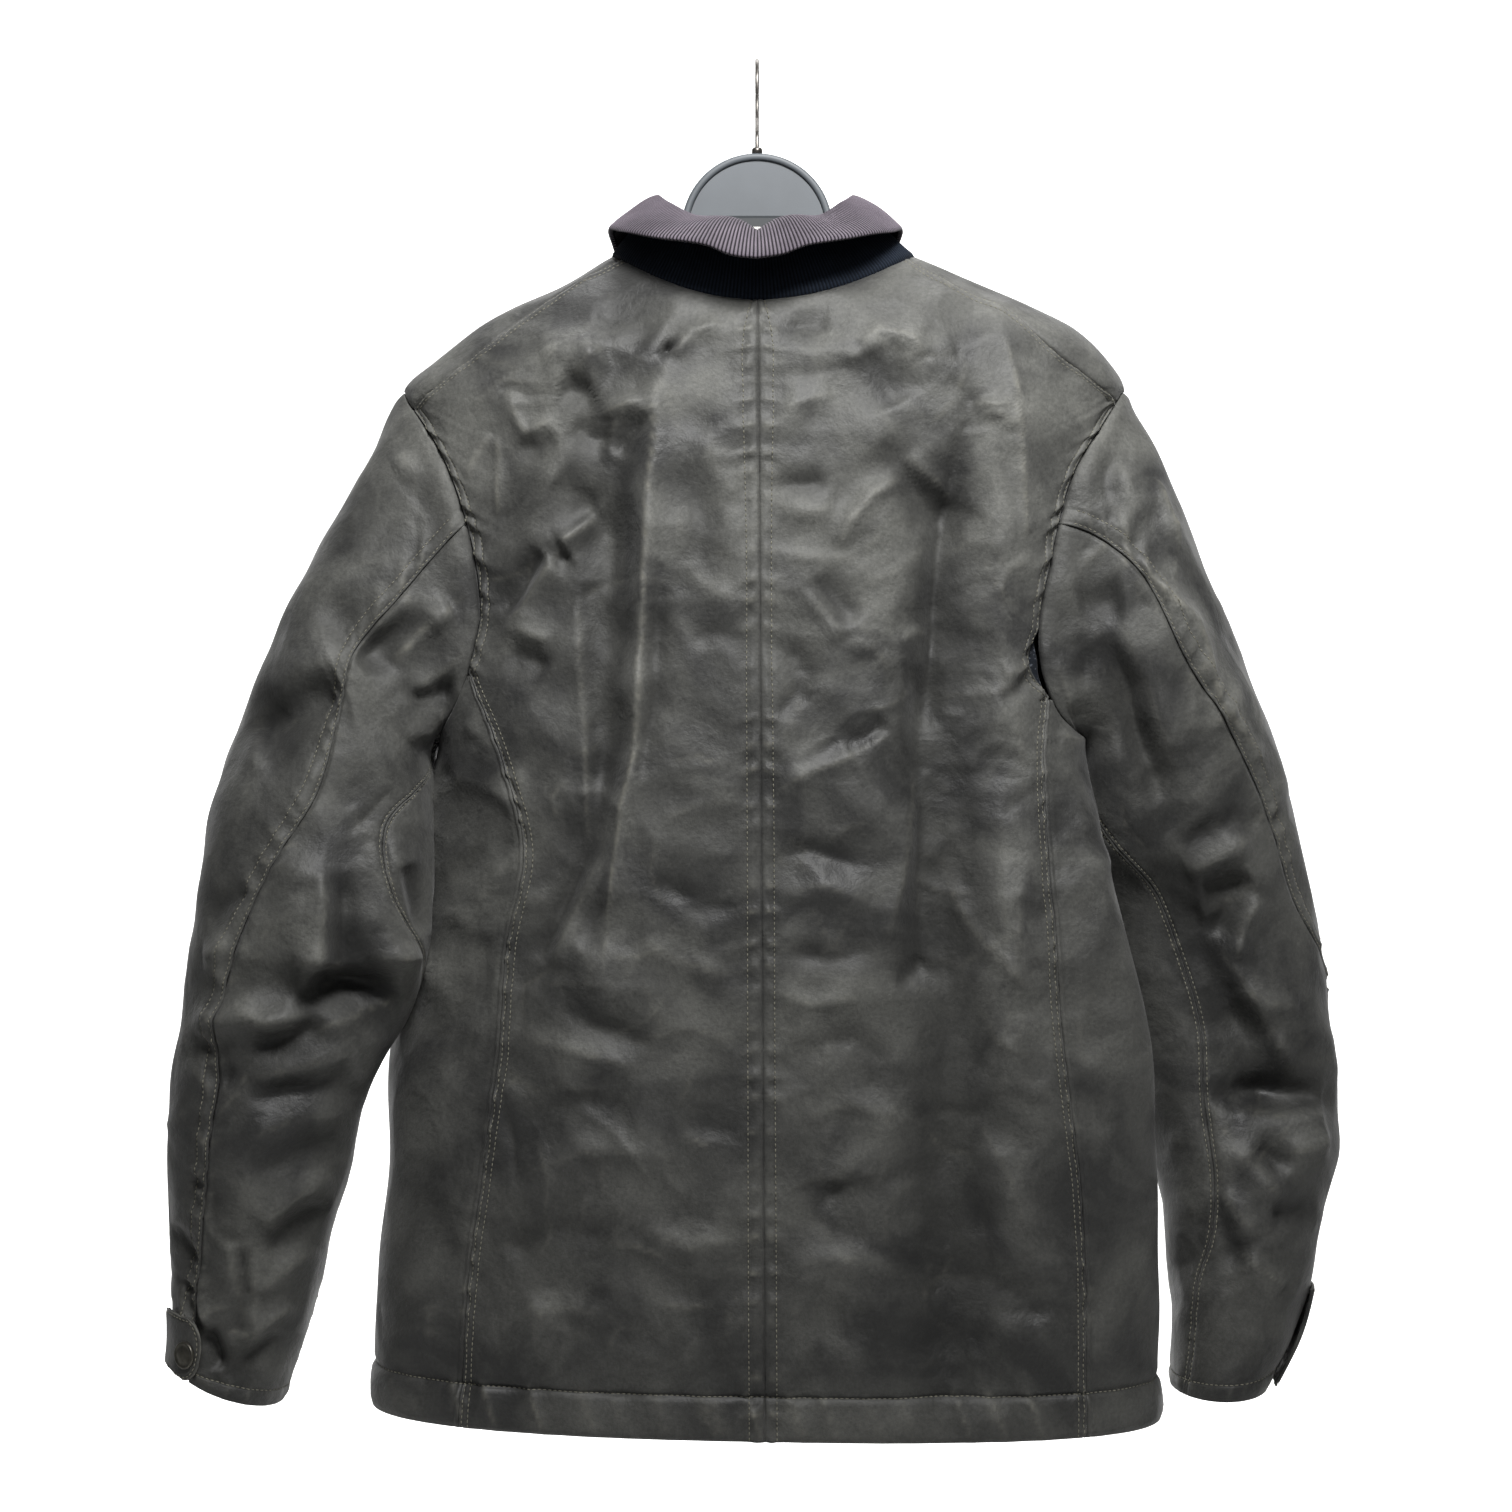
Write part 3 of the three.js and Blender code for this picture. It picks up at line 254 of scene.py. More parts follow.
def scattered_creases(seed, count, box, lengths, widths, heights, slope=0.0, spread=1.2):
    """Small creases at seeded random places in a box of the view, each a short bent line."""
    rng = np.random.default_rng(seed)
    creases = []
    for _ in range(count):
        x, z = rng.uniform(box[0], box[1]), rng.uniform(box[2], box[3])
        turn = slope + rng.normal(0, spread)
        half = rng.uniform(*lengths) / 2
        bend = rng.normal(0, 0.25) * half
        dx, dz = np.cos(turn), np.sin(turn)
        wide, high = rng.uniform(*widths), rng.uniform(*heights) * rng.choice([1, 1, -1])
        creases.append((wide, high, max(0, rng.normal(0.05, 0.15)), (x - dx * half, z - dz * half),
                        (x - dz * bend, z + dx * bend), (x + dx * half, z + dz * half)))
    return creases


def pucker(run, period, seed):
    """Ridges across a seam at uneven steps: 1 - 2 * |sin|^0.8 of the run, with a seeded wobble."""
    rng = np.random.default_rng(seed)
    wobble = sum(rng.uniform(0.2, 0.45) * np.sin(run / period * rate + rng.uniform(0, 6.3))
                 for rate in (0.37, 0.71, 1.13, 1.9))
    size = 0.65 + 0.35 * np.sin(run / period * 0.53 + rng.uniform(0, 6.3))
    return (1 - 2 * np.abs(np.sin(np.pi * run / period / 2 + wobble)) ** 0.8) * size


def seam_relief(distance, run, stitches, seed, high=0.8, period=8.5, lap=0.9, reach=None):
    """Height and wear beside a seam: a lap over the seam allowance as far as its last row of stitches, a
    groove at the seam and one at each row, and puckers that are strongest between the rows."""
    band = max(stitches)
    reach = reach or band
    lifted = lap / (1 + np.exp((distance - band - 1.2) / 0.5))
    grooves = sum(1.0 * np.exp(-(((distance - row) / 0.85) ** 2)) for row in stitches)
    grooves = grooves + 1.1 * np.exp(-((distance / 0.8) ** 2))
    ridges = pucker(run + 0.5 * distance, period, seed)
    inside = np.exp(-(((distance - 0.55 * band) / (0.75 * reach)) ** 2)) * np.minimum(1, distance / 2)
    tail = 0.5 * np.exp(-distance / (2.6 * reach)) * np.minimum(1, distance / 2)
    height = lifted - grooves + high * ridges * (inside + tail)
    return height, 0.55 * np.clip(ridges, 0, 1) * inside


def armhole_level(turn):
    """Degrees round the armhole from the shoulder's tip to the trunk's level, half a cosine wave."""
    return SHOULDER_TIP + (UNDERARM - SHOULDER_TIP) * (1 - np.cos(np.radians(turn))) / 2


def armhole_turn(level):
    """The other way round: the arc cosine of the level's share."""
    share = (level - SHOULDER_TIP) / (UNDERARM - SHOULDER_TIP)
    return np.degrees(np.arccos(np.clip(1 - 2 * share, -1, 1)))


ARMHOLE = table("turn left right front", [
    [0, 1, 1, 1], [20, 0.976, 0.972, 0.965], [40, 0.92, 0.93, 0.9], [60, 0.868, 0.877, 0.84],
    [80, 0.84, 0.857, 0.8], [100, 0.838, 0.845, 0.785], [120, 0.866, 0.85, 0.8],
    [140, 0.91, 0.885, 0.85], [160, 0.965, 0.95, 0.94], [180, 1, 1, 1]])
CENTRE_SEAM = table("level out", [[HEM, 5], [-560, 3], [NECK, 0.5]])
SIDE_SEAM = {
    "left": table("level out", [[HEM, 185], [-770, 179], [-712, 171], [-635, 162], [-568, 156],
                                [-509, 145], [-449, 160], [-400, 180.2]]),
    "right": table("level out", [[HEM, 205], [-786, 205], [-715, 201], [-669, 195], [-614, 188],
                                 [-553, 184], [-527, 181], [-450, 178], [-415, 181.5]])}
SHOULDER_SEAM = {
    "left": table("level out", [[-228, 217.6], [-217, 206], [-170, 151], [-150, 124], [NECK, 88]]),
    "right": table("level out", [[-223, 228.2], [-211, 213], [-194, 192], [-173, 170], [-160, 153],
                                 [NECK, 97]])}
SIGN = {"left": -1, "right": 1}
SHOULDER_JOINT = {"left": 28, "right": 22}
SIDE_JOINT = {"left": 130, "right": 141}
RIP = {"low": -415, "high": -371, "width": 9}


def angle_at_share(level, share):
    """The ring's angle where x is that share of the half-width: arc sine of share^(corner / 2)."""
    return np.arcsin(np.minimum(1, share) ** (between(TRUNK, "level", "corner", level) / 2))


def angle_at_width(side, level, out):
    """The ring's angle at a distance out from the middle."""
    return angle_at_share(level, out / between(TRUNK, "level", side, level))


def armhole_angle(side, turn):
    """The ring's angle at the armhole, which runs down the back for positive turns, else the front."""
    ends = (np.abs(turn) < 0.01) | (np.abs(turn) > 179.99)
    share = np.where(turn > 0, between(ARMHOLE, "turn", side, np.abs(turn)),
                     between(ARMHOLE, "turn", "front", np.abs(turn)))
    angle = angle_at_share(armhole_level(turn), share)
    return np.where(ends, np.pi / 2, np.where(turn > 0, angle, np.pi - angle))


def seam_angle(side, angle, level):
    """The angle that half a seam's gap covers."""
    step = 0.01
    there = trunk_form(SIGN[side] * (angle + step), level) - trunk_form(SIGN[side] * angle, level)
    return SEAM / 2 * step / np.linalg.norm(there, axis=-1)


def spread(width, near, far, count):
    """Columns across a row, as shares of its width: close together at the given millimetres from each
    edge, where a seam is, and even between them."""
    near, far = np.array(near, float), np.array(far, float)
    squeeze = np.minimum(1, 0.42 * width / max(near[-1], far[-1], 1e-6))[:, None]
    low, top = near[-1] * squeeze, width[:, None] - far[-1] * squeeze
    middle = low + (top - low) * np.linspace(0, 1, count + 2)[None, 1:-1]
    return np.hstack([near * squeeze, middle, width[:, None] - far[::-1] * squeeze]) / width[:, None]


def trunk_field(side, levels, first, last, near, far, count):
    """A stretch of the trunk between two edges: its grid of angles, levels and distances from each edge."""
    levels = np.asarray(levels, float)
    first, last = np.broadcast_to(first, levels.shape), np.broadcast_to(last, levels.shape)
    even = first[:, None] + (last - first)[:, None] * np.linspace(0, 1, 33)
    ring = trunk_form(SIGN[side] * even, levels[:, None])
    runs = np.hstack([np.zeros((len(levels), 1)),
                      np.cumsum(np.linalg.norm(np.diff(ring, axis=1), axis=-1), axis=1)])
    width = np.maximum(runs[:, -1], 1e-3)
    shares = spread(width, near, far, count)
    angle = first[:, None] + (last - first)[:, None] * shares
    from_first = shares * width[:, None]
    return {"angle": angle, "level": np.broadcast_to(levels[:, None], angle.shape),
            "from_first": from_first, "from_last": width[:, None] - from_first}


def waves(x, z, seed, size, high):
    """A gentle unevenness: the sum of seeded sine waves that cross the cloth in all directions."""
    rng = np.random.default_rng(seed)
    total = 0
    for _ in range(7):
        turn, rate = rng.uniform(0, np.pi), 2 * np.pi / (size * rng.uniform(0.6, 1.8))
        total = total + np.sin(rate * (x * np.cos(turn) + z * np.sin(turn)) + rng.uniform(0, 6.3))
    return high * total / 2.6


def hem_relief(level, run, seed):
    """The hem: a puffed band under its row of stitches, gathered a little on both sides of the row."""
    up = level - HEM
    tall = HEM_STITCH - HEM
    puff = 2.2 * np.sqrt(np.clip(np.sin(np.pi * np.clip(up / tall, 0, 1)), 0, 1))
    groove = 1.6 * np.exp(-(((up - tall) / 1.3) ** 2))
    ridges = pucker(run + 0.35 * up, 13, seed)
    band = np.where(up < tall, np.clip(up / 8, 0.25, 1), np.exp(-(up - tall) / 22))
    return puff - groove + 1.5 * ridges * band, 0.35 * np.clip(ridges, 0, 1) * band * (up < tall + 3)


# The jacket's soft folds, then its creases, each with its width, height, wear and the points it runs
# through in the view from behind.
SOFT_FOLDS = {
    "back": [(20, 6, 0, (-64, -240), (-74, -410)), (22, 6, 0, (-74, -410), (-95, -587)),
             (22, -8, 0, (-94, -310), (-98, -540)), (14, 3, 0, (-111, -330), (-111, -480)),
             (26, -9, 0, (114, -300), (120, -830)), (16, 4, 0, (153, -175), (168, -330)),
             (18, -4, 0, (-150, -270), (-170, -360)), (26, -4, 0, (-100, -560), (-150, -640)),
             (18, 3, 0, (165, -420), (160, -560))],
    "front": [(26, 5, 0, (-80, -260), (-105, -560)), (24, -5, 0, (-125, -300), (-150, -640)),
              (26, 5, 0, (85, -240), (100, -520)), (30, -6, 0, (130, -320), (150, -760))]}
BACK_CREASES = {
    "left": [
        (7, 5, 1, (-54, -203), (-64, -231), (-63, -250), (-67, -285), (-69, -330), (-72, -385), (-73, -412),
         (-75, -447), (-83, -480), (-86, -506), (-90, -541), (-95, -587)),
        (26, -5, 0, (-89, -189), (-86, -250), (-91, -330), (-92, -416), (-96, -501)),
        (9, -5, 0, (-61, -330), (-63, -379), (-65, -416), (-72, -464)),
        (5, -6, 0, (-58, -195), (-53, -199)),
        (6, 3, 0.3, (-52, -203), (-41, -189), (-21, -182)),
        (16, -4, 0, (-102, -174), (-79, -178), (-62, -189)),
        (9, 4, 0.5, (-97, -199), (-107, -208), (-113, -215)),
        (14, 3.5, 0.3, (-135, -203), (-117, -198), (-92, -199)),
        (14, -5, 0, (-123, -219), (-112, -223), (-102, -221)),
        (12, -5, 0, (-117, -244), (-103, -252), (-92, -254)),
        (7, 3.5, 0.4, (-96, -237), (-84, -234), (-72, -230)),
        (6, -4, 0, (-87, -264), (-79, -252), (-68, -237)),
        (14, -5, 0, (-128, -280), (-113, -287), (-101, -298)),
        (6, 4, 0.5, (-123, -319), (-112, -312), (-100, -303)),
        (9, -4, 0, (-128, -331), (-117, -324)),
        (9, -5, 0, (-160, -364), (-146, -343), (-133, -323)),
        (6, 3.5, 0.4, (-154, -368), (-139, -345), (-125, -327)),
        (5, 3, 0.5, (-155, -222), (-150, -238), (-143, -250), (-125, -241)),
        (8, -3, 0, (-147, -252), (-138, -259), (-125, -253)),
        (4, 2, 0.5, (-182, -276), (-174, -261), (-166, -249)),
        (3, 1.5, 0.7, (-162, -250), (-161, -275), (-161, -302)),
        (6, 2.5, 0.4, (-111, -354), (-110, -389), (-106, -440), (-105, -486), (-104, -506)),
        (8, -4, 0, (-103, -507), (-119, -541), (-136, -578)),
        (8, 3, 0.2, (-96, -511), (-112, -547), (-128, -584)),
        (6, 2.5, 0.3, (-158, -367), (-145, -373), (-129, -380)),
        (9, -3, 0, (-157, -385), (-143, -389), (-128, -396)),
        (12, -3, 0, (-41, -269), (-35, -305), (-31, -354)),
        (9, 2.5, 0.2, (-35, -250), (-25, -275), (-12, -293)),
        (8, 2, 0.2, (-45, -330), (-28, -348), (-8, -354)),
        (7, -2, 0, (-41, -379), (-23, -374), (-6, -379)),
        (7, 2, 0.2, (-59, -489), (-35, -480), (-8, -477)),
        (8, -2.5, 0, (-65, -526), (-41, -538), (-9, -545)),
        (7, 2, 0.3, (-72, -562), (-50, -575), (-17, -584)),
        (9, -2.5, 0, (-121, -605), (-96, -619), (-65, -624)),
        (7, 2.4, 0.3, (-145, -624), (-113, -631), (-72, -642)),
        (10, -2.5, 0, (-139, -673), (-108, -660), (-72, -666)),
        (10, 2.5, 0.2, (-145, -709), (-102, -691), (-47, -697)),
        (12, -2.5, 0, (-157, -758), (-121, -740), (-84, -746)),
        (9, 2.2, 0.2, (-72, -740), (-41, -752), (-8, -746)),
        (9, 2, 0.2, (-145, -795), (-114, -789), (-78, -798)),
    ],
    "right": [
        (10, -3, 0, (7, -189), (24, -182), (45, -181)),
        (8, 3, 0.3, (4, -243), (24, -234), (47, -226)),
        (8, -4, 0, (10, -281), (26, -283), (43, -280)),
        (9, 3, 0.2, (14, -297), (30, -301), (48, -297)),
        (6, 4, 0.5, (49, -323), (59, -303), (71, -289), (91, -277)),
        (6, 4, 0.4, (91, -264), (107, -278), (123, -291)),
        (12, -5, 0, (75, -256), (89, -270), (101, -285), (114, -309)),
        (14, -4, 0, (70, -199), (78, -217), (87, -234)),
        (8, 3.5, 0.5, (64, -198), (75, -188), (95, -192), (103, -204)),
        (12, 3, 0.2, (87, -205), (106, -203), (124, -199)),
        (8, -3, 0, (118, -215), (132, -231), (133, -250)),
        (8, -6, 0, (132, -241), (122, -275), (113, -325), (110, -379), (106, -440)),
        (4, 2.2, 0.9, (154, -189), (161, -221), (164, -263), (167, -319)),
        (16, 3.5, 0.1, (144, -244), (149, -305), (151, -379), (151, -452)),
        (4, 2, 0.4, (135, -231), (146, -233), (157, -231)),
        (4, 2, 0.4, (139, -237), (151, -239), (160, -247)),
        (10, -4, 0, (37, -340), (48, -353), (61, -368)),
        (9, 3, 0.3, (30, -348), (42, -362), (52, -379)),
        (8, 2.5, 0.2, (54, -379), (70, -385), (87, -398)),
        (9, -3, 0, (8, -379), (24, -389), (34, -409)),
        (8, 3.5, 0.4, (83, -436), (68, -444), (53, -452), (27, -462), (8, -476)),
        (9, -4, 0, (80, -429), (67, -439), (54, -446)),
        (8, -3, 0, (10, -426), (21, -417), (32, -409)),
        (7, 3, 0.3, (98, -457), (95, -493), (90, -528), (78, -569)),
        (10, -4.5, 0, (101, -391), (100, -452), (100, -513), (101, -593)),
        (22, -3, 0, (118, -330), (118, -452), (118, -575), (119, -721), (121, -832)),
        (14, 4, 0.1, (150, -477), (151, -538), (154, -599), (152, -660)),
        (8, -3, 0, (8, -513), (34, -507), (63, -518)),
        (8, 2.6, 0.3, (12, -535), (39, -529), (68, -538)),
        (8, -2.6, 0, (20, -566), (45, -575), (73, -569)),
        (7, 2.4, 0.3, (8, -593), (34, -602), (63, -597)),
        (9, -2.4, 0, (26, -630), (57, -624), (85, -636)),
        (7, 3, 0.3, (116, -521), (128, -550), (144, -572), (175, -600)),
        (7, -3, 0, (105, -575), (96, -584), (86, -593)),
        (8, 2.4, 0.2, (26, -673), (57, -663), (87, -673)),
        (10, -2.4, 0, (20, -715), (57, -721), (87, -709)),
        (10, 2.2, 0.2, (136, -673), (155, -709), (167, -746)),
        (10, 2, 0.2, (20, -764), (51, -756), (87, -764)),
        (9, -2, 0, (136, -770), (161, -783), (179, -801)),
        (6, -3, 0, (149, -416), (161, -409), (171, -394)),
        (6, 3, 0.4, (151, -401), (163, -396), (173, -379)),
    ]}


def soft_height(folds, x, z):
    """The soft folds' height: each falls off from its line as a bell curve."""
    height = np.zeros(x.shape)
    for wide, high, _, start, end in folds:
        start, run = np.array(start, float), np.subtract(end, start).astype(float)
        share = np.clip(((x - start[0]) * run[0] + (z - start[1]) * run[1]) / (run @ run), 0, 1)
        far = np.hypot(x - start[0] - share * run[0], z - start[1] - share * run[1])
        height += high * np.exp(-((far / wide) ** 2))
    return height


def trunk_smooth(angle, level):
    """The trunk with its soft folds, which stand out along its normals and fade out at its sides."""
    point = trunk_form(angle, level)
    facing = np.minimum(1, 2 * np.abs(np.cos(angle)))
    folds = np.where(np.cos(angle) > 0, soft_height(SOFT_FOLDS["back"], point[..., 0], point[..., 2]),
                     soft_height(SOFT_FOLDS["front"], point[..., 0], point[..., 2]))
    return point + trunk_normal(angle, level) * (folds * facing)[..., None]


def cloth_piece(name, fields, material, nodes, thickness=CLOTH):
    """A sewn piece: its fields of points are merged into one sheet, which a Solidify modifier thickens
    inwards. Wear, how far the points rise out of the smooth form, and the cloth's own millimetres as UV
    go with the points. The waxed cotton turns the rise into painted shade in hollows and painted light on
    raised cloth."""
    points, faces, worn, rise, uv, start = [], [], [], [], [], 0
    for field in fields:
        grid = field["points"]
        rows, columns = grid.shape[:2]
        index = start + np.arange(rows * columns).reshape(rows, columns)
        quads = np.stack([index[:-1, :-1], index[:-1, 1:], index[1:, 1:], index[1:, :-1]], -1)
        faces.append(quads.reshape(-1, 4)[:, ::-1] if field.get("flipped") else quads.reshape(-1, 4))
        points.append(grid.reshape(-1, 3))
        worn.append(np.broadcast_to(field.get("worn", 0.0), grid.shape[:2]).reshape(-1))
        rise.append(np.broadcast_to(field.get("rise", 0.0), grid.shape[:2]).reshape(-1))
        uv.append(field["uv"].reshape(-1, 2) if "uv" in field else np.zeros((rows * columns, 2)))
        start += rows * columns
    piece, merged = faces_mesh(name, np.concatenate(points), np.concatenate(faces))
    mesh = piece.data
    for attribute, values in (("wear", worn), ("rise", rise)):
        of_vertex = np.zeros(len(mesh.vertices), np.float32)
        of_vertex[merged] = np.concatenate(values)
        mesh.attributes.new(attribute, "FLOAT", "POINT").data.foreach_set("value", of_vertex)
    place = np.zeros((len(mesh.vertices), 2), np.float32)
    place[merged] = np.concatenate(uv) * 0.001
    corner = np.empty(len(mesh.loops), np.int32)
    mesh.loops.foreach_get("vertex_index", corner)
    mesh.uv_layers.new(name="cloth").data.foreach_set("uv", place[corner].reshape(-1))
    mesh.materials.append(material)
    wall = piece.modifiers.new("wall", "SOLIDIFY")
    wall.thickness = thickness * 0.001
    wall.offset = -1
    wall.use_even_offset = False
    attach(piece, "root")
    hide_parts(*nodes)
    return piece


def thread(name, rows, material, pitch=3.3, share=0.72, radius=0.36):
    """Rows of stitches as one mesh. Each stitch is a short lozenge of thread: a four-sided tube, thickest in
    its middle, whose ends dip into the cloth. A row is a path of points with the cloth's normals."""
    along = np.array([-0.5, -0.28, 0.0, 0.28, 0.5])
    thick = np.array([0.15, 0.85, 1.0, 0.85, 0.15])
    rise = np.array([-0.35, 0.25, 0.4, 0.25, -0.35])
    corners = np.array([[1, 0], [0, 1], [-1, 0], [0, -1]], float)
    points, faces, start = [], [], 0
    for path, normals in rows:
        steps = np.linalg.norm(np.diff(path, axis=0), axis=1)
        run = np.concatenate([[0], np.cumsum(steps)])
        count = max(1, int(run[-1] / pitch))
        middle = (np.arange(count) + 0.5) * run[-1] / count
        at = lambda values, where: np.stack([np.interp(where, run, values[:, i]) for i in range(3)], -1)
        centre, up = at(path, middle), unit(at(normals, middle))
        ahead = unit(at(path, middle + 0.5) - at(path, middle - 0.5))
        side = unit(np.cross(ahead, up))
        long = along * pitch * share
        ring = (centre[:, None, None] + ahead[:, None, None] * long[:, None, None]
                + up[:, None, None] * (rise * radius)[:, None, None]
                + (side[:, None, None] * corners[:, :1] + up[:, None, None] * corners[:, 1:])
                * (thick * radius)[:, None, None])
        index = start + np.arange(count * 20).reshape(count, 5, 4)
        after = np.roll(index, -1, axis=2)
        walls = np.stack([index[:, :-1], after[:, :-1], after[:, 1:], index[:, 1:]], -1).reshape(-1, 4)
        ends = np.concatenate([index[:, 0, ::-1], index[:, -1]]).reshape(-1, 4)
        points.append(ring.reshape(-1, 3))
        faces.append(np.concatenate([walls, ends]))
        start += count * 20
    piece, _ = faces_mesh(name, np.concatenate(points), np.concatenate(faces))
    piece.data.materials.append(material)
    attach(piece, "root")
    return piece


# Waxed cotton: a close plain weave soaked in oily wax, worn for years. The eye sees a dry olive grey that the
# wax mottles darker, a low sheen, and pale lines where creases have broken the wax. Its colour also carries
# painted
# shade and light: darker in hollows, seam grooves and towards the hem, lighter on raised cloth and towards
# the shoulders.
waxed_cotton, add = new_material("waxed cotton, worn")
place = add("ShaderNodeTexCoord").outputs["Object"]
patches = add("ShaderNodeTexNoise", {"Vector": place, "Scale": 14, "Detail": 5, "Roughness": 0.62,
                                     "Distortion": 0.6})
speckle = add("ShaderNodeTexNoise", {"Vector": place, "Scale": 420, "Detail": 3, "Roughness": 0.7})
tone = add("ShaderNodeValToRGB", {"Fac": patches.outputs["Fac"]})
tone.color_ramp.elements[0].position, tone.color_ramp.elements[1].position = 0.36, 0.66
tone.color_ramp.elements[0].color = linear("#313130")
tone.color_ramp.elements[1].color = linear("#5a5a56")
grain = add("ShaderNodeMapRange", {"Value": speckle.outputs["Fac"], "From Min": 0.3, "From Max": 0.7,
                                   "To Min": 0.78, "To Max": 1.22})
height_of = add("ShaderNodeSeparateXYZ", {0: place})
# Painted shade: the cloth's colour is darker towards the hem and lighter towards the shoulders, where the
# light from above falls.
painted_shade_by_height = add("ShaderNodeMapRange", {"Value": height_of.outputs["Z"], "From Min": -0.85,
                                      "From Max": -0.2, "To Min": 0.6, "To Max": 1.12})
# Painted shade and light from the relief: colour down to half in hollows, fold valleys and seam grooves, and
# up to 1.45 times on raised cloth.
raised = add("ShaderNodeAttribute", attribute_name="rise")
waxed_cloth_painted_shade = add("ShaderNodeMapRange", {"Value": raised.outputs["Fac"], "From Min": -1.0, "From Max": 1.0,
                                   "To Min": 0.5, "To Max": 1.45})
painted_shade_factor = add("ShaderNodeMath", {0: waxed_cloth_painted_shade.outputs[0], 1: painted_shade_by_height.outputs[0]}, operation="MULTIPLY")
shade = add("ShaderNodeMath", {0: grain.outputs[0], 1: painted_shade_factor.outputs[0]}, operation="MULTIPLY")
ground = add("ShaderNodeVectorMath", {0: tone.outputs["Color"], "Scale": shade.outputs[0]},
             operation="SCALE")
wear = add("ShaderNodeAttribute", attribute_name="wear")
breaks = add("ShaderNodeTexNoise", {"Vector": place, "Scale": 160, "Detail": 3})
broken = add("ShaderNodeMapRange", {"Value": breaks.outputs["Fac"], "From Min": 0.3, "From Max": 0.65})
pale = add("ShaderNodeMath", {0: wear.outputs["Fac"], 1: broken.outputs[0]}, operation="MULTIPLY",
           use_clamp=True)
colour = add("ShaderNodeMix", {0: pale.outputs[0], 6: ground.outputs[0], 7: linear("#7e7c72")},
             data_type="RGBA")
sheen_map = add("ShaderNodeMapRange", {"Value": patches.outputs["Fac"], "From Min": 0.3,
                                       "From Max": 0.7, "To Min": 0.5, "To Max": 0.68})
cockle = add("ShaderNodeTexNoise", {"Vector": place, "Scale": 48, "Detail": 5, "Roughness": 0.55,
                                    "Distortion": 0.2})
bent = add("ShaderNodeVectorMath", {0: cockle.outputs["Color"], "Scale": 0.012}, operation="SCALE")
pushed = add("ShaderNodeVectorMath", {0: place, 1: bent.outputs[0]}, operation="ADD")
crumple = add("ShaderNodeTexVoronoi", {"Vector": pushed.outputs[0], "Scale": 26},
              feature="SMOOTH_F1")
crumple.inputs["Smoothness"].default_value = 0.25
facets = add("ShaderNodeBump", {"Height": crumple.outputs["Distance"], "Distance": 0.007, "Strength": 0.8})
rise = add("ShaderNodeBump", {"Height": cockle.outputs["Fac"], "Distance": 0.0016, "Strength": 0.5,
                              "Normal": facets.outputs[0]})
nap = add("ShaderNodeBump", {"Height": speckle.outputs["Fac"], "Distance": 0.0004, "Strength": 0.7,
                             "Normal": rise.outputs[0]})
cloth = add("ShaderNodeBsdfPrincipled", {
    "Base Color": colour.outputs[2], "Roughness": sheen_map.outputs[0], "Normal": nap.outputs[0],
    "IOR": 1.48, "Specular IOR Level": 0.42, "Sheen Weight": 0.08, "Sheen Roughness": 0.5})
add("ShaderNodeOutputMaterial", {"Surface": cloth.outputs[0]})

# Cotton thread, dyed to the cloth and rubbed a little paler.
thread_grey, add = new_material("cotton sewing thread, dyed")
place = add("ShaderNodeTexCoord").outputs["Object"]
twist = add("ShaderNodeTexNoise", {"Vector": place, "Scale": 300, "Detail": 2})
tone = add("ShaderNodeMix", {0: twist.outputs["Fac"], 6: linear("#55534a"), 7: linear("#8b8878")},
           data_type="RGBA")
yarn = add("ShaderNodeBsdfPrincipled", {"Base Color": tone.outputs[2], "Roughness": 0.8})
add("ShaderNodeOutputMaterial", {"Surface": yarn.outputs[0]})

CENTRE_ROWS, SIDE_ROWS, SHOULDER_ROWS, ARMHOLE_ROWS = (3.6,), (2.8,), (1.6, 7.6), (1.8, 9.2)
SEAM_COLUMNS = [0, 0.6, 1.2, 1.8, 2.4, 3.2, 4.4, 6, 8, 10.5, 13.5]
WIDE_SEAM_COLUMNS = [0, 0.7, 1.4, 2, 2.8, 4.2, 5.8, 7.4, 8.5, 9.2, 10, 11.4, 13.5, 16]


def trunk_sheet(side, field, relief):
    """A field's points and normals, raised along the normals by a relief of the field and the view."""
    angle, level = SIGN[side] * field["angle"], field["level"]
    base = trunk_smooth(angle, level)
    normals = trunk_normal(angle, level)
    height, worn = relief(field, base[..., 0], base[..., 2])
    soft = ((base - trunk_form(angle, level)) * normals).sum(axis=-1)
    # The rise kept with the points becomes painted shade in hollows and painted light on raised cloth, in the
    # waxed cotton's colour.
    return {"points": base + normals * height[..., None], "normals": normals, "worn": worn,
            "rise": np.clip(height / 5 + soft / 9, -1, 1),
            "uv": np.stack([base[..., 0], base[..., 2]], -1), "flipped": SIGN[side] < 0}


def inset_angle(side, angle, level, inset):
    """An edge's angle moved back along the ring by a distance in millimetres."""
    return angle - 2 * inset / SEAM * seam_angle(side, angle, level)


def row_paths(sheet, column_distance, wanted, levels_from=-1e9, levels_to=1e9):
    """The line on a finished sheet at a wanted distance from an edge, found between its columns."""
    path, normals = [], []
    for points, normal, distance, level in zip(sheet["points"], sheet["normals"],
                                               column_distance, sheet["level"]):
        if levels_from <= level[0] <= levels_to:
            order = np.argsort(distance)
            path.append([np.interp(wanted, distance[order], points[order, i]) for i in range(3)])
            normals.append([np.interp(wanted, distance[order], normal[order, i]) for i in range(3)])
    return np.array(path), unit(np.array(normals))


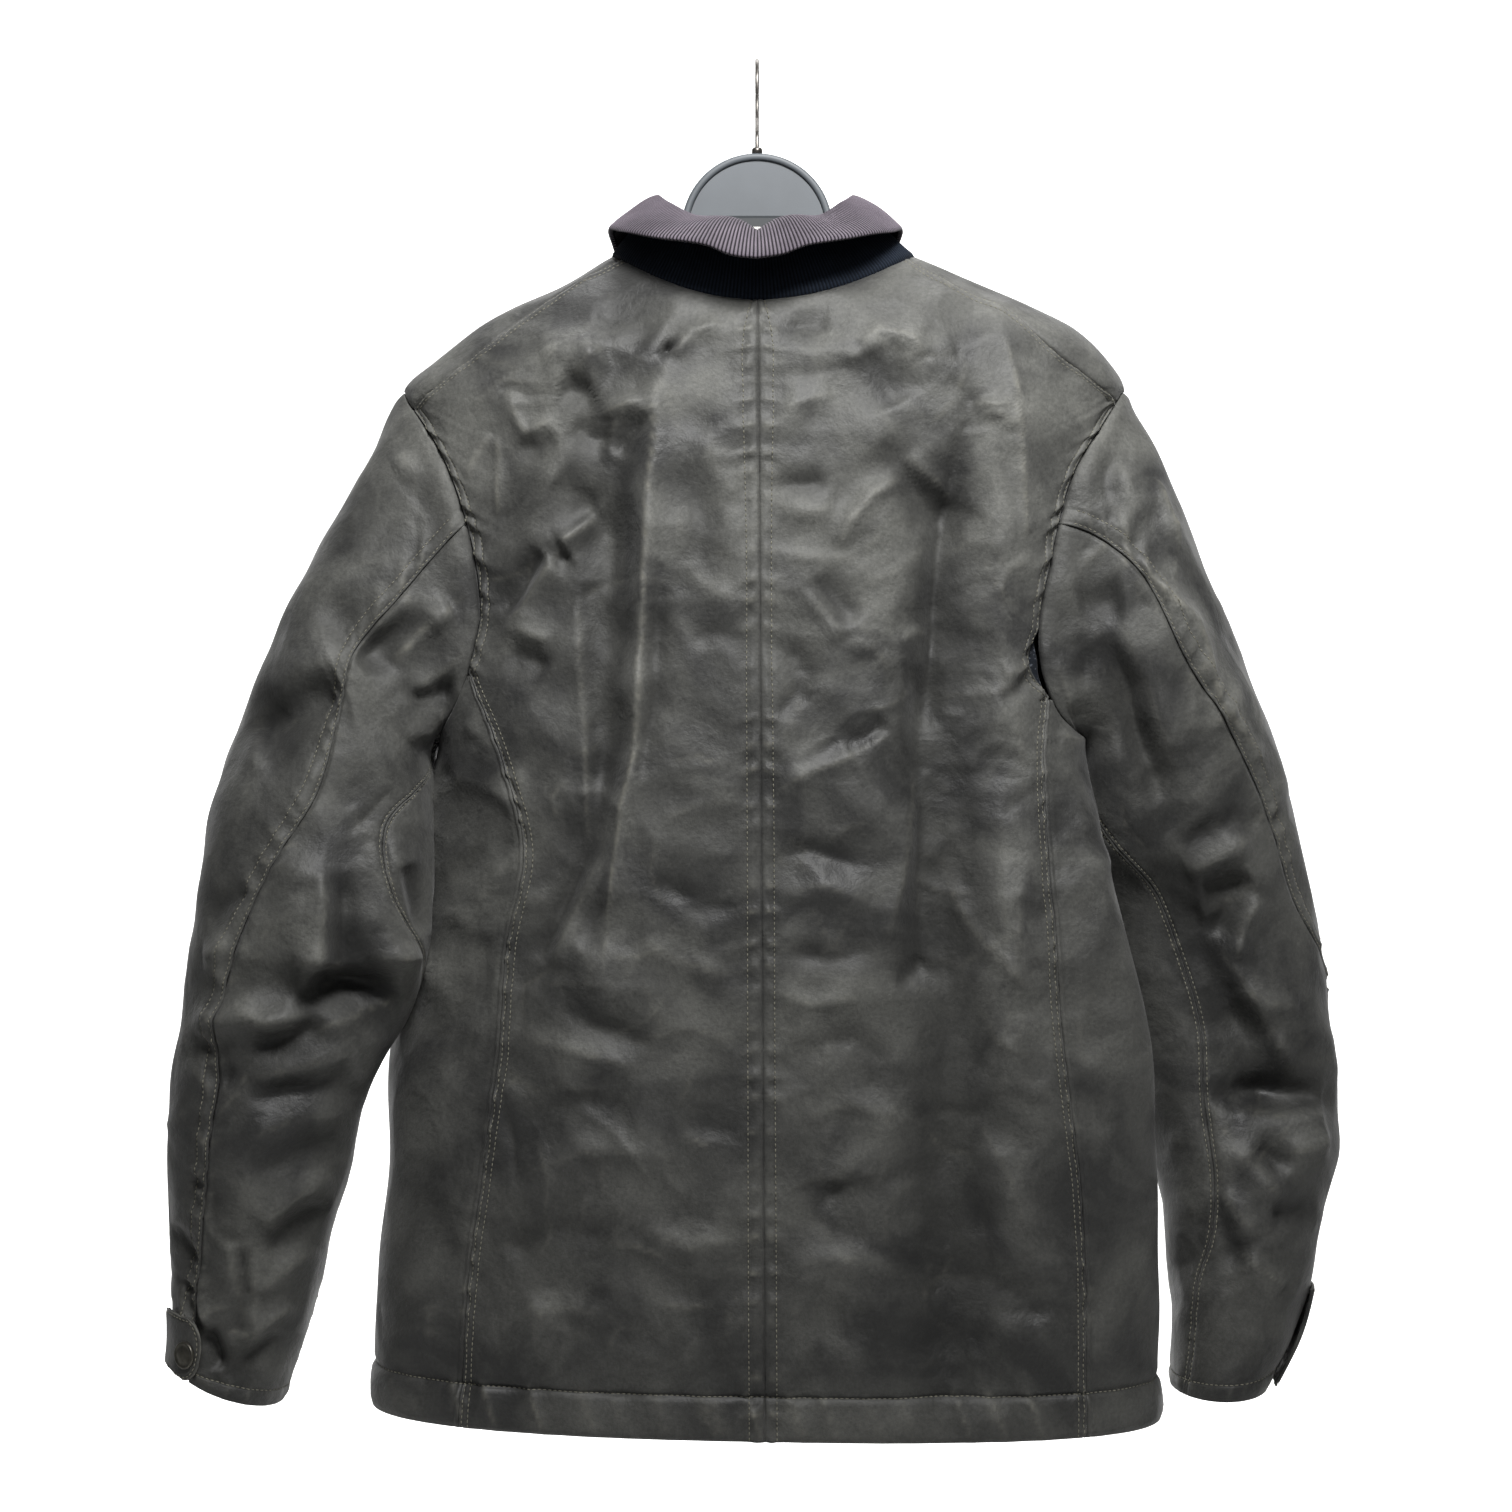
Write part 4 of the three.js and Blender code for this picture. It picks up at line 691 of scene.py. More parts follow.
trunk_levels = np.concatenate([np.linspace(HEM, HEM_STITCH - 2, 12), [-844.8, -844, -843.2],
                               np.linspace(-841.5, UNDERARM, 158)])
armhole_levels = {}
for side in SIGN:
    turns = np.concatenate([np.linspace(180, SIDE_JOINT[side], 30)[:-1],
                            np.linspace(SIDE_JOINT[side], SHOULDER_JOINT[side], 76)[:-1],
                            np.linspace(SHOULDER_JOINT[side], 0, 16)])
    armhole_levels[side] = armhole_level(turns)
    armhole_levels[side][0], armhole_levels[side][-1] = UNDERARM, SHOULDER_TIP
shoulder_levels = np.linspace(SHOULDER_TIP, NECK, 36)


def centre_angle(side, level):
    """The centre seam, which runs a little to the wearer's right towards the hem."""
    return SIGN[side] * angle_at_width("right", level, between(CENTRE_SEAM, "level", "out", level))


def side_seam_angle(side, level):
    """The side seam, which is set on the back and runs outwards to the hem."""
    return angle_at_width(side, level, between(SIDE_SEAM[side], "level", "out", level))


def shoulder_seam_angle(side, level):
    """The shoulder seam, which lies behind the shoulder's edge."""
    return angle_at_width(side, level, between(SHOULDER_SEAM[side], "level", "out", level))


def rip_width(side, level):
    """How far the open seam has drawn back: half a sine wave between its two ends."""
    share = (level - RIP["low"]) / (RIP["high"] - RIP["low"])
    inside = (share > 0) & (share < 1) & (side == "right")
    return np.where(inside, RIP["width"] * np.sin(np.pi * np.clip(share, 0, 1)), 0)


def back_relief(side):
    """The back's relief: creases, a gentle unevenness, the hem and the seams at both edges."""
    small = scattered_creases(11 if side == "left" else 23, 130, (5, 175, -830, -180), (16, 60), (2.5, 6),
                              (0.3, 1.1), slope=0.1)
    small = [(w, h, p, *[(SIGN[side] * x, z) for x, z in path]) for w, h, p, *path in small]

    def relief(field, x, z):
        level, inward, outward = field["level"], field["from_first"], field["from_last"]
        height, worn = crease_relief(BACK_CREASES[side] + small, x, z)
        settle = (1 - np.exp(-((inward / 7) ** 2))) * (1 - np.exp(-((outward / 9) ** 2)))
        above_hem = np.clip((level - HEM_STITCH) / 25, 0, 1)
        settle = settle * above_hem * np.clip((NECK - level) / 12, 0, 1)
        height, worn = (height + waves(x, z, 5, 70, 0.9)) * settle, worn * settle
        low = level < armhole_level(SIDE_JOINT[side])
        top = level > armhole_level(SHOULDER_JOINT[side])
        for part, distance, rows, seed, high in (
                (True, inward, CENTRE_ROWS, 3, 1.2),
                (low, outward, SIDE_ROWS, 31, 1.6),
                (~low & ~top, outward, ARMHOLE_ROWS, 41, 2.0),
                (top, outward, SHOULDER_ROWS, 51, 0.8)):
            seam, pale = seam_relief(distance, level, rows, seed, high)
            height, worn = height + np.where(part, seam, 0), worn + np.where(part, pale, 0)
        hem, hem_wear = hem_relief(level, x, 61)
        return height + hem, np.clip(worn + hem_wear, 0, 1)
    return relief


backs = {}
for side in SIGN:
    levels = np.concatenate([trunk_levels, armhole_levels[side][1:], shoulder_levels[1:]])
    seam_low = side_seam_angle(side, levels)
    hole = armhole_angle(side, np.maximum(armhole_turn(levels), 0.001))
    low = levels < armhole_level(SIDE_JOINT[side]) + 0.01
    top = levels > armhole_level(SHOULDER_JOINT[side]) - 0.01
    seam_low = np.where(levels < UNDERARM, seam_low, np.minimum(seam_low, hole))
    yoke = shoulder_seam_angle(side, levels)
    inset_hole = inset_angle(side, hole, levels, rip_width(side, levels))
    edge = np.where(low, seam_low, np.where(top, yoke, inset_hole))
    field = trunk_field(side, levels, centre_angle(side, levels), edge, SEAM_COLUMNS,
                        WIDE_SEAM_COLUMNS, 58)
    sheet = trunk_sheet(side, field, back_relief(side))
    backs[side] = {**sheet, **field}
    cloth_piece(f"back_{side}_cloth", [sheet], waxed_cotton, [f"back_{side}"])


# FRONTS, LEFT AND RIGHT
# Each front is one piece of the same waxed cotton. It wraps round the side to a seam set on the back,
# and over the shoulder to a seam behind it, and turns under at the opening.


def front_relief(side):
    """The front's relief: scattered creases, a gentle unevenness, the hem and its seams."""
    small = scattered_creases(71 if side == "left" else 83, 120, (30, 215, -830, -190), (20, 80), (3, 8),
                              (0.5, 2.2), slope=0.2)
    small = [(w, h, p, *[(SIGN[side] * x, z) for x, z in path]) for w, h, p, *path in small]

    def relief(field, x, z):
        level, first, last = field["level"], field["from_first"], field["from_last"]
        height, worn = crease_relief(small, x, z)
        settle = np.clip((level - HEM_STITCH) / 25, 0, 1) * np.clip((NECK - level) / 12, 0, 1)
        edge = first if field["seam"] in ("side", "shoulder", "armhole") else np.full(first.shape, 99.0)
        both = np.minimum(edge, last) if field["seam"] == "shoulder" else edge
        settle = settle * (1 - np.exp(-((both / 8) ** 2)))
        height, worn = (height + waves(x, z, 7, 90, 1.2)) * settle, worn * settle
        if field["seam"] == "side":
            seam, pale = seam_relief(first, level, SIDE_ROWS, 31, 0.9)
            height, worn = height + seam, worn + pale
        if field["seam"] == "shoulder":
            seam, pale = seam_relief(first, level, (1.4,), 51, 0.3, lap=0.2)
            height, worn = height + seam, worn + pale
        if field["seam"] == "armhole":
            seam, pale = seam_relief(first, level, ARMHOLE_ROWS, 43, 0.9)
            height, worn = height + seam, worn + pale
        hem, hem_wear = hem_relief(level, x, 61)
        return height + hem, np.clip(worn + hem_wear, 0, 1)
    return relief


FLY_HALF, FLY_TOP = 32, -136


def fly_angle(side, level):
    """The ring's angle at the edge of the strip that covers the opening."""
    return np.pi - angle_at_width(side, level, FLY_HALF)


# The front's fields meet at the ring's side, at the armhole's foot and at the shoulder's tip.
fronts = {}
for side in SIGN:
    relief = front_relief(side)
    half_turn = np.pi / 2
    rows_up = trunk_levels[::2]
    rows_up = np.unique(np.concatenate([rows_up, [HEM, UNDERARM, -844.8, -844, -843.2]]))
    front_turns = np.linspace(-180, 0, 70)
    hole_levels = armhole_level(front_turns)
    hole_levels[0], hole_levels[-1] = UNDERARM, SHOULDER_TIP
    under_turns = np.linspace(180, SIDE_JOINT[side], 24)
    under_levels = armhole_level(under_turns)
    under_levels[0] = UNDERARM
    top_turns = np.linspace(SHOULDER_JOINT[side], 0, 14)
    top_levels = armhole_level(top_turns)
    top_levels[-1] = SHOULDER_TIP
    yoke_levels = shoulder_levels
    hole_back = lambda levels: armhole_angle(side, np.maximum(armhole_turn(levels), 0.001))
    hole_front = lambda levels: armhole_angle(side, -armhole_turn(levels))
    past = lambda line, limit, levels: np.minimum(line(side, levels), limit)
    parts = [
        ("side", rows_up, past(side_seam_angle, half_turn, rows_up), half_turn, SEAM_COLUMNS, [0], 14),
        ("none", rows_up, half_turn, fly_angle(side, rows_up), [0], [0], 50),
        ("side", under_levels, past(side_seam_angle, hole_back(under_levels), under_levels),
         hole_back(under_levels), SEAM_COLUMNS, [0], 14),
        ("armhole", hole_levels, hole_front(hole_levels), fly_angle(side, hole_levels), [0], [0], 50),
        ("shoulder", top_levels, past(shoulder_seam_angle, hole_back(top_levels), top_levels),
         hole_back(top_levels), [0], [0], 14),
        ("shoulder", yoke_levels, past(shoulder_seam_angle, half_turn, yoke_levels), half_turn,
         [0], [0], 14),
        ("none", yoke_levels, half_turn, fly_angle(side, yoke_levels), [0], [0], 50),
        ("none", rows_up, fly_angle(side, rows_up), np.pi, [0], [0], 6),
        ("none", hole_levels, fly_angle(side, hole_levels), np.pi, [0], [0], 6),
        ("none", yoke_levels, fly_angle(side, yoke_levels), np.pi, [0], [0], 6)]
    sheets = []
    for seam, levels, first, last, near, far, count in parts:
        field = trunk_field(side, levels, first, last, near, far, count)
        field["seam"] = seam
        sheets.append({**trunk_sheet(side, field, relief), **field})
    fronts[side] = sheets
    cloth_piece(f"front_{side}_cloth", sheets, waxed_cotton, [f"front_{side}"])

# The fly: a strip of waxed cotton over the opening, stitched down along both edges.
fly_levels = np.linspace(HEM, FLY_TOP, 150)
fly_fields = []
for side, first, last in (("right", fly_angle("right", fly_levels), np.pi),
                          ("right", np.pi, 2 * np.pi - fly_angle("left", fly_levels))):
    field = trunk_field(side, fly_levels, first, last, [0, 1.5, 3], [0, 1.5, 3], 10)
    angle = field["angle"]
    base, normals = trunk_smooth(angle, field["level"]), trunk_normal(angle, field["level"])
    hem, _ = hem_relief(field["level"], base[..., 0], 61)
    edge = field["from_first"] if last is np.pi else field["from_last"]
    stitched = 0.8 * np.exp(-(((edge - 4) / 1.2) ** 2))
    lift = CLOTH + SEAM + 0.9 + hem + waves(base[..., 0], base[..., 2], 9, 60, 0.5) - stitched
    fly_fields.append({"points": base + normals * lift[..., None], "normals": normals, "edge": edge,
                       "levels": field["level"],
                       "uv": np.stack([base[..., 0], base[..., 2]], -1)})
cloth_piece("front_fly_cloth", fly_fields, waxed_cotton, ["front_fly"])


# SLEEVES, LEFT AND RIGHT
# Each sleeve is cut in two, an outer and an under panel, joined by a double-stitched seam over the elbow
# and a plain one under the arm. The cloth has set where the arm bent, in deep folds at the elbow.
SLEEVE_COLUMNS = "row outX outZ inX inZ midY depth elbow under"
SLEEVE = {
    "left": table(SLEEVE_COLUMNS, [
        [0, -246, -240, -206, -439, 0, 56, 78, 180], [1, -267, -283, -210, -449, -4, 60, 87, 178],
        [2, -288, -327, -208, -461, -9, 63, 85, 168], [3, -308, -368, -206, -480, -14, 64, 89, 148],
        [4, -333, -432, -206, -510, -20, 63, 90, 128], [5, -348, -486, -206, -545, -32, 61, 78, 138],
        [6, -356, -555, -209, -580, -36, 60, 62, 172], [7, -366, -617, -222, -616, -33, 58, 58, 190],
        [8, -373, -665, -250, -670, -32, 57, 68, 195], [9, -375, -719, -262, -724, -28, 55, 66, 195],
        [10, -375, -752, -273, -759, -24, 52, 65, 195], [11, -374, -787, -281, -796, -21, 50, 61, 195],
        [12, -373, -815, -292, -831, -20, 48, 60, 195], [13, -374, -832, -303, -862, -20, 47, 60, 195]]),
    "right": table(SLEEVE_COLUMNS, [
        [0, 250, -232, 207, -439, 0, 56, 78, 180], [1, 270, -270, 210, -450, 3, 60, 75, 178],
        [2, 289, -316, 207, -465, 8, 63, 75, 168], [3, 309, -365, 205, -486, 14, 64, 68, 152],
        [4, 335, -425, 206, -516, 22, 62, 57, 135], [5, 355, -485, 218, -552, 32, 60, 48, 122],
        [6, 371, -545, 228, -594, 40, 58, 41, 114], [7, 381, -604, 242, -637, 43, 57, 6, 112],
        [8, 387, -661, 253, -680, 42, 57, -8, 118], [9, 388, -709, 264, -719, 38, 55, -15, 120],
        [10, 375, -748, 270, -762, 32, 53, -15, 125], [11, 366, -784, 273, -796, 27, 50, -10, 140],
        [12, 355, -824, 274, -836, 24, 48, -6, 146], [13, 336, -862, 273, -865, 24, 48, -4, 150]])}
SOFT_SLEEVE_FOLDS = {
    "left": [(16, -12, 0, (-283, -590), (-236, -603)), (10, 6, 0, (-337, -614), (-238, -609)),
             (14, -7, 0, (-340, -432), (-270, -410)), (14, -6, 0, (-262, -362), (-232, -388)),
             (14, 6, 0, (-281, -524), (-281, -590)), (18, -5, 0, (-330, -655), (-290, -640))],
    "right": [(16, -7, 0, (219, -371), (262, -484)), (16, 5, 0, (240, -335), (297, -414)),
              (16, 5, 0, (297, -414), (337, -468)), (26, -14, 0, (262, -545), (330, -655)),
              (12, -6, 0, (305, -670), (374, -674)), (14, 4, 0, (300, -705), (345, -745))]}
SLEEVE_CREASES = {
    "left": [
        (16, -3, 0, (-225, -281), (-213, -272), (-202, -262)),
        (12, 3, 0.2, (-229, -270), (-220, -266), (-210, -266)),
        (8, 3.5, 0.3, (-201, -279), (-192, -283), (-188, -292)),
        (8, -5, 0, (-191, -293), (-187, -305), (-182, -311)),
        (13, -6, 0, (-250, -391), (-231, -379), (-214, -369), (-204, -362)),
        (9, 3, 0.2, (-256, -379), (-236, -364), (-216, -352)),
        (20, -7, 0, (-317, -441), (-297, -429), (-277, -419), (-253, -411)),
        (14, 4, 0.1, (-304, -415), (-280, -398), (-257, -391)),
        (7, 5, 0.9, (-227, -393), (-216, -379), (-199, -363), (-187, -352), (-178, -342)),
        (9, -6, 0, (-194, -358), (-187, -353), (-181, -354)),
        (9, -4, 0, (-220, -415), (-201, -409), (-183, -401)),
        (9, 4, 0.3, (-216, -409), (-199, -398), (-181, -385)),
        (9, -5, 0, (-194, -428), (-186, -419), (-181, -409)),
        (10, 4, 0.3, (-220, -440), (-204, -428), (-192, -415)),
        (14, -12, 0, (-270, -582), (-261, -591), (-243, -595), (-223, -595)),
        (7, 6, 0.3, (-280, -576), (-267, -574), (-250, -583)),
        (8, 7, 0.5, (-270, -619), (-248, -612), (-224, -600)),
        (9, -7, 0, (-318, -607), (-300, -624), (-270, -618), (-231, -607)),
        (8, 5, 0.3, (-321, -599), (-304, -613), (-278, -609)),
        (7, 5, 0.3, (-265, -518), (-264, -550), (-267, -582)),
        (10, -6, 0, (-253, -521), (-251, -550), (-253, -580)),
        (9, 4, 0.2, (-235, -501), (-225, -532), (-216, -563)),
        (8, -5, 0, (-218, -517), (-212, -538), (-208, -560)),
        (8, 5, 0.4, (-236, -575), (-221, -574), (-207, -576)),
        (10, -4, 0, (-342, -550), (-326, -538), (-311, -532)),
        (9, 3, 0.2, (-344, -575), (-329, -569), (-315, -557)),
        (10, -4, 0, (-348, -624), (-333, -636), (-324, -655)),
        (8, 3, 0.3, (-353, -636), (-342, -648), (-329, -673)),
        (9, 4, 0.3, (-311, -648), (-280, -640), (-248, -631)),
        (9, -4, 0, (-310, -661), (-280, -657), (-252, -648)),
        (8, 3, 0.2, (-313, -685), (-286, -673), (-258, -672)),
        (10, -4, 0, (-313, -704), (-289, -698), (-262, -689)),
        (8, 3, 0.3, (-307, -740), (-286, -722), (-264, -710)),
        (9, -4, 0, (-304, -759), (-286, -744), (-268, -731)),
        (8, 3, 0.2, (-311, -783), (-295, -769), (-277, -760)),
        (9, -3, 0, (-351, -710), (-342, -722), (-333, -740)),
        (6, 4, 0.3, (-326, -749), (-322, -777), (-317, -805)),
        (5, -5, 0, (-318, -753), (-319, -783), (-322, -810)),
        (5, 3.5, 0.3, (-311, -754), (-312, -783), (-313, -814)),
        (5, -6, 0, (-343, -806), (-338, -818), (-334, -832)),
        (5, 3.5, 0.2, (-349, -768), (-347, -790), (-340, -806)),
        (4, -3, 0, (-355, -775), (-352, -796), (-345, -810)),
        (4, 2.5, 0.3, (-361, -780), (-357, -800), (-351, -812)),
        (8, -4, 0, (-332, -836), (-312, -824), (-298, -812)),
        (6, 3, 0.3, (-322, -812), (-303, -800), (-290, -794)),
        (6, -3, 0, (-366, -742), (-352, -762), (-343, -775)),
    ],
    "right": [
        (4, 3.5, 1, (254, -273), (259, -295), (266, -321)),
        (5, 4, 1, (228, -319), (245, -337), (257, -350), (274, -364), (282, -385), (291, -414), (308, -436),
         (328, -457)),
        (9, -6, 0, (215, -373), (225, -391), (233, -407), (239, -436), (254, -466), (258, -482)),
        (14, 4, 0.2, (226, -363), (243, -401), (252, -427), (264, -459)),
        (14, -5, 0, (201, -357), (215, -352), (230, -350)),
        (8, 4, 0.3, (189, -427), (196, -436), (199, -443)),
        (8, 3.5, 0.3, (185, -388), (194, -407), (198, -424)),
        (8, -3, 0, (198, -375), (207, -388), (206, -407)),
        (9, 4, 0.3, (274, -525), (294, -514), (316, -501)),
        (8, -5, 0, (287, -538), (302, -534), (317, -527)),
        (8, -4, 0, (269, -508), (288, -497), (310, -486)),
        (9, 4, 0.3, (284, -552), (301, -547), (324, -532)),
        (12, -8, 0, (298, -570), (303, -550), (316, -527)),
        (7, 5, 0.4, (308, -581), (312, -559), (324, -540)),
        (7, 5, 0.3, (296, -571), (316, -599), (332, -628), (350, -657)),
        (8, 3, 0.3, (220, -286), (228, -298), (233, -316)),
        (9, -4, 0, (216, -261), (224, -286), (226, -305)),
        (10, 4, 0.3, (228, -266), (235, -286), (247, -298)),
        (12, -9, 0, (304, -668), (335, -668), (369, -672)),
        (8, 5, 0.3, (307, -678), (338, -683), (370, -682)),
        (8, 5, 0.4, (341, -706), (356, -702), (373, -700)),
        (8, 4, 0.4, (303, -700), (321, -715), (337, -735)),
        (9, -6, 0, (320, -702), (332, -709), (342, -717)),
        (9, -6, 0, (329, -742), (346, -745), (361, -744)),
        (8, 4, 0.3, (291, -722), (307, -741), (320, -760)),
        (9, -4, 0, (288, -741), (301, -760), (310, -779)),
        (8, 3.5, 0.3, (310, -767), (324, -779), (339, -792)),
        (10, -4, 0, (303, -613), (320, -626), (339, -632)),
        (8, 3.5, 0.3, (310, -600), (329, -610), (352, -613)),
        (9, 3, 0.3, (284, -683), (296, -702), (298, -728)),
    ]}
SLEEVE_JOIN = 0.16


def armhole_rim(side, turn):
    """The sleeve's top edge: the trunk at the armhole, moved a seam's gap into the hole."""
    wrapped = np.mod(turn + 180, 360) - 180
    wrapped = np.where(np.abs(wrapped) < 1e-9, 0.001, wrapped)
    at = lambda degrees: trunk_smooth(SIGN[side] * armhole_angle(side, degrees), armhole_level(degrees))
    run = unit(at(np.mod(wrapped + 181, 360) - 180) - at(np.mod(wrapped + 179, 360) - 180))
    normal = trunk_normal(SIGN[side] * armhole_angle(side, wrapped), armhole_level(wrapped))
    into_hole = unit(np.cross(run, normal)) * -SIGN[side]
    gap = SEAM * 0.5 + 1.6 * (wrapped / 180) ** 6
    return at(wrapped) + into_hole * gap[..., None]


def sleeve_form(side, turn, place):
    """Tilted oval sections: x and z = the middle + the reach * cos(turn), y = the middle - the depth *
    sin(turn), mixed into the armhole's rim by (1 - place / join)^2."""
    index = np.clip(place, 0, 1) * 13
    at = lambda column: between(SLEEVE[side], "row", column, index)
    swing, back = np.cos(np.radians(turn)), np.sin(np.radians(turn))
    x = (at("outX") + at("inX")) / 2 + (at("outX") - at("inX")) / 2 * swing
    z = (at("outZ") + at("inZ")) / 2 + (at("outZ") - at("inZ")) / 2 * swing
    section = np.stack(np.broadcast_arrays(x, at("midY") - at("depth") * back, z), -1)
    left = np.clip(1 - place / SLEEVE_JOIN, 0, 1) ** 2
    return section + (armhole_rim(side, turn) - section) * left[..., None]


def sleeve_normal(side, turn, place):
    """The sleeve's outward normal, taken just inside its ends."""
    form = lambda first, second: sleeve_form(side, first, second)
    return normal_of(form, turn, np.clip(place, 0.005, 0.995), 1, 0.005) * SIGN[side]


def sleeve_facing(turn, place):
    """How far folds seen from behind show at a turn: full at the back, none at the front."""
    return np.clip(2 * np.sin(np.radians(turn)), 0, 1) * np.clip(place / SLEEVE_JOIN, 0, 1)


def sleeve_smooth(side, turn, place):
    """The sleeve with its soft folds, which stand out along its normals at the back."""
    point = sleeve_form(side, turn, place)
    height = soft_height(SOFT_SLEEVE_FOLDS[side], point[..., 0], point[..., 2])
    return point + sleeve_normal(side, turn, place) * (height * sleeve_facing(turn, place))[..., None]


ELBOW_BAND = 9.0


def sleeve_relief(side, turn, place, point, from_elbow, from_under, part):
    """The sleeve's relief: creases at the back, others round its front, puckered seams and the cuff's hem."""
    x, z = point[..., 0], point[..., 2]
    seed = 101 if side == "left" else 131
    outline = SLEEVE[side]
    box = (min(outline["outX"].min(), outline["inX"].min()), max(outline["outX"].max(),
           outline["inX"].max()), -850, -260)
    behind = SLEEVE_CREASES[side] + scattered_creases(seed, 90, box, (14, 46), (2.5, 6), (0.3, 1.2),
                                                      slope=0.5 * SIGN[side])
    before = scattered_creases(seed + 1, 110, box, (24, 80), (4, 9), (0.5, 2.0), slope=0.2 * SIGN[side],
                               spread=0.6)
    height, worn = crease_relief(behind, x, z)
    front_height, front_worn = crease_relief(before, x, z)
    facing = np.clip(2 * np.sin(np.radians(turn)), 0, 1)
    front = np.clip(-2 * np.sin(np.radians(turn)), 0, 1)
    run = place * 680
    settle = (1 - np.exp(-((run / 12) ** 2))) * np.clip(run / 24, 0, 1)
    settle = settle * np.clip((1 - place) * 680 / 20, 0, 1)
    seams = (1 - 0.8 * np.exp(-((from_elbow / 5) ** 2))) * (1 - np.exp(-((from_under / 6) ** 2)))
    height = (height * facing + front_height * front + waves(x, z + point[..., 1], 17, 60, 1.0)) * settle
    height, worn = height * seams, (worn * facing + front_worn * front) * settle
    edge = np.clip(run / 10, 0, 1)
    if part == "outer":
        seam, pale = seam_relief(from_elbow, run, (1.6, ELBOW_BAND), seed + 2, 1.35)
    else:
        seam, pale = seam_relief(from_elbow, run, (1.0,), seed + 2, 0.35, lap=0.0, reach=7)
    height, worn = height + seam * edge, worn + pale * edge
    seam, pale = seam_relief(from_under, run, (2.4,), seed + 3, 0.5, lap=0.5)
    height, worn = height + seam * edge, worn + pale * edge
    head, pale = seam_relief(run, turn * 1.1, (0.1,), seed + 4, 0.8, lap=0, reach=9)
    height = height + head + 1.6 * np.exp(-(((run - 9) / 9) ** 2)) - 1.6 / math.e
    up = (1 - place) * 680
    cuff = 0.9 * np.exp(-(((up - 9) / 6) ** 2)) - 0.7 * np.exp(-(((up - 18) / 1.2) ** 2))
    ridges = pucker(turn * 0.9, 9, seed + 5)
    height = height + cuff + 0.5 * ridges * np.exp(-(((up - 12) / 12) ** 2))
    return height, np.clip(worn + 0.3 * np.clip(ridges, 0, 1) * np.exp(-(((up - 12) / 9) ** 2)), 0, 1)


def sleeve_sheet(side, part):
    """A sleeve panel from the elbow seam to the under-arm seam, its columns close together at both."""
    place = np.concatenate([np.linspace(0, 0.05, 18)[:-1], np.linspace(0.05, 0.95, 186)[:-1],
                            np.linspace(0.95, 1, 22)])
    index = place * 13
    elbow = between(SLEEVE[side], "row", "elbow", index)
    under = between(SLEEVE[side], "row", "under", index)
    first, last = (elbow, under) if part == "under" else (elbow, under - 360)
    even = first[:, None] + (last - first)[:, None] * np.linspace(0, 1, 41)
    ring = sleeve_form(side, even, place[:, None])
    width = np.linalg.norm(np.diff(ring, axis=1), axis=-1).sum(axis=1)
    columns = 30 if part == "under" else 74
    shares = spread(width, [0, 0.8, 1.6, 2.4, 3.6, 5.2, 6.8, 8.2, 9.2, 10.2, 12, 15],
                    [0, 0.8, 1.6, 2.4, 3.2, 4.6, 7, 10], columns)
    turn = first[:, None] + (last - first)[:, None] * shares
    places = np.broadcast_to(place[:, None], turn.shape)
    base, normals = sleeve_smooth(side, turn, places), sleeve_normal(side, turn, places)
    from_elbow = shares * width[:, None]
    height, worn = sleeve_relief(side, turn, places, base, from_elbow, width[:, None] - from_elbow, part)
    flipped = (part == "under") == (SIGN[side] < 0)
    soft = ((base - sleeve_form(side, turn, places)) * normals).sum(axis=-1)
    # The rise kept with the points becomes painted shade in hollows and painted light on raised cloth, in the
    # waxed cotton's colour.
    return {"points": base + normals * height[..., None], "normals": normals, "worn": worn,
            "rise": np.clip(height / 5 + soft / 9, -1, 1), "level": places, "from_first": from_elbow,
            "from_last": width[:, None] - from_elbow, "flipped": flipped,
            "uv": np.stack([from_elbow, places * 680], -1)}


sleeves = {}
for side in SIGN:
    for part, flat in (("outer", (0.3, 0.68)), ("under", (0.15, 0.6))):
        sleeves[side, part] = sleeve_sheet(side, part)
        cloth_piece(f"sleeve_{side}_{part}_cloth", [sleeves[side, part]], waxed_cotton,
                    [f"sleeve_{side}_{part}"])

# LINING AT THE OPEN SEAM
# Where the right armhole's seam has come open, a dark printed lining shows. It is a thin plain-woven
# polyester, slack between its own seams.
lining_levels = np.linspace(RIP["low"] + 2, RIP["high"] + 4, 36)
hole_edge = armhole_angle("right", armhole_turn(lining_levels))
field = trunk_field("right", lining_levels, inset_angle("right", hole_edge, lining_levels, 14), hole_edge,
                    [0], [0], 16)
base = trunk_smooth(field["angle"], field["level"])
normals = trunk_normal(field["angle"], field["level"])
slack = waves(base[..., 0], base[..., 2], 19, 14, 0.5) - CLOTH - 1.9
# Printed polyester: the eye sees a dark glint with pale specks in the open seam.
lining_print, add = new_material("thin woven polyester, printed with small flecks")
place = add("ShaderNodeTexCoord").outputs["Object"]
flecks = add("ShaderNodeTexNoise", {"Vector": place, "Scale": 520, "Detail": 1})
fleck = add("ShaderNodeMapRange", {"Value": flecks.outputs["Fac"], "From Min": 0.6, "From Max": 0.66})
tone = add("ShaderNodeMix", {0: fleck.outputs[0], 6: linear("#12171f"), 7: linear("#5b6068")},
           data_type="RGBA")
woven = add("ShaderNodeBsdfPrincipled", {"Base Color": tone.outputs[2], "Roughness": 0.5,
                                         "Sheen Weight": 0.05})
add("ShaderNodeOutputMaterial", {"Surface": woven.outputs[0]})
cloth_piece("armhole_lining_cloth", [{"points": base + normals * slack[..., None], "normals": normals}],
            lining_print, ["armhole_lining_right"], thickness=1.2)

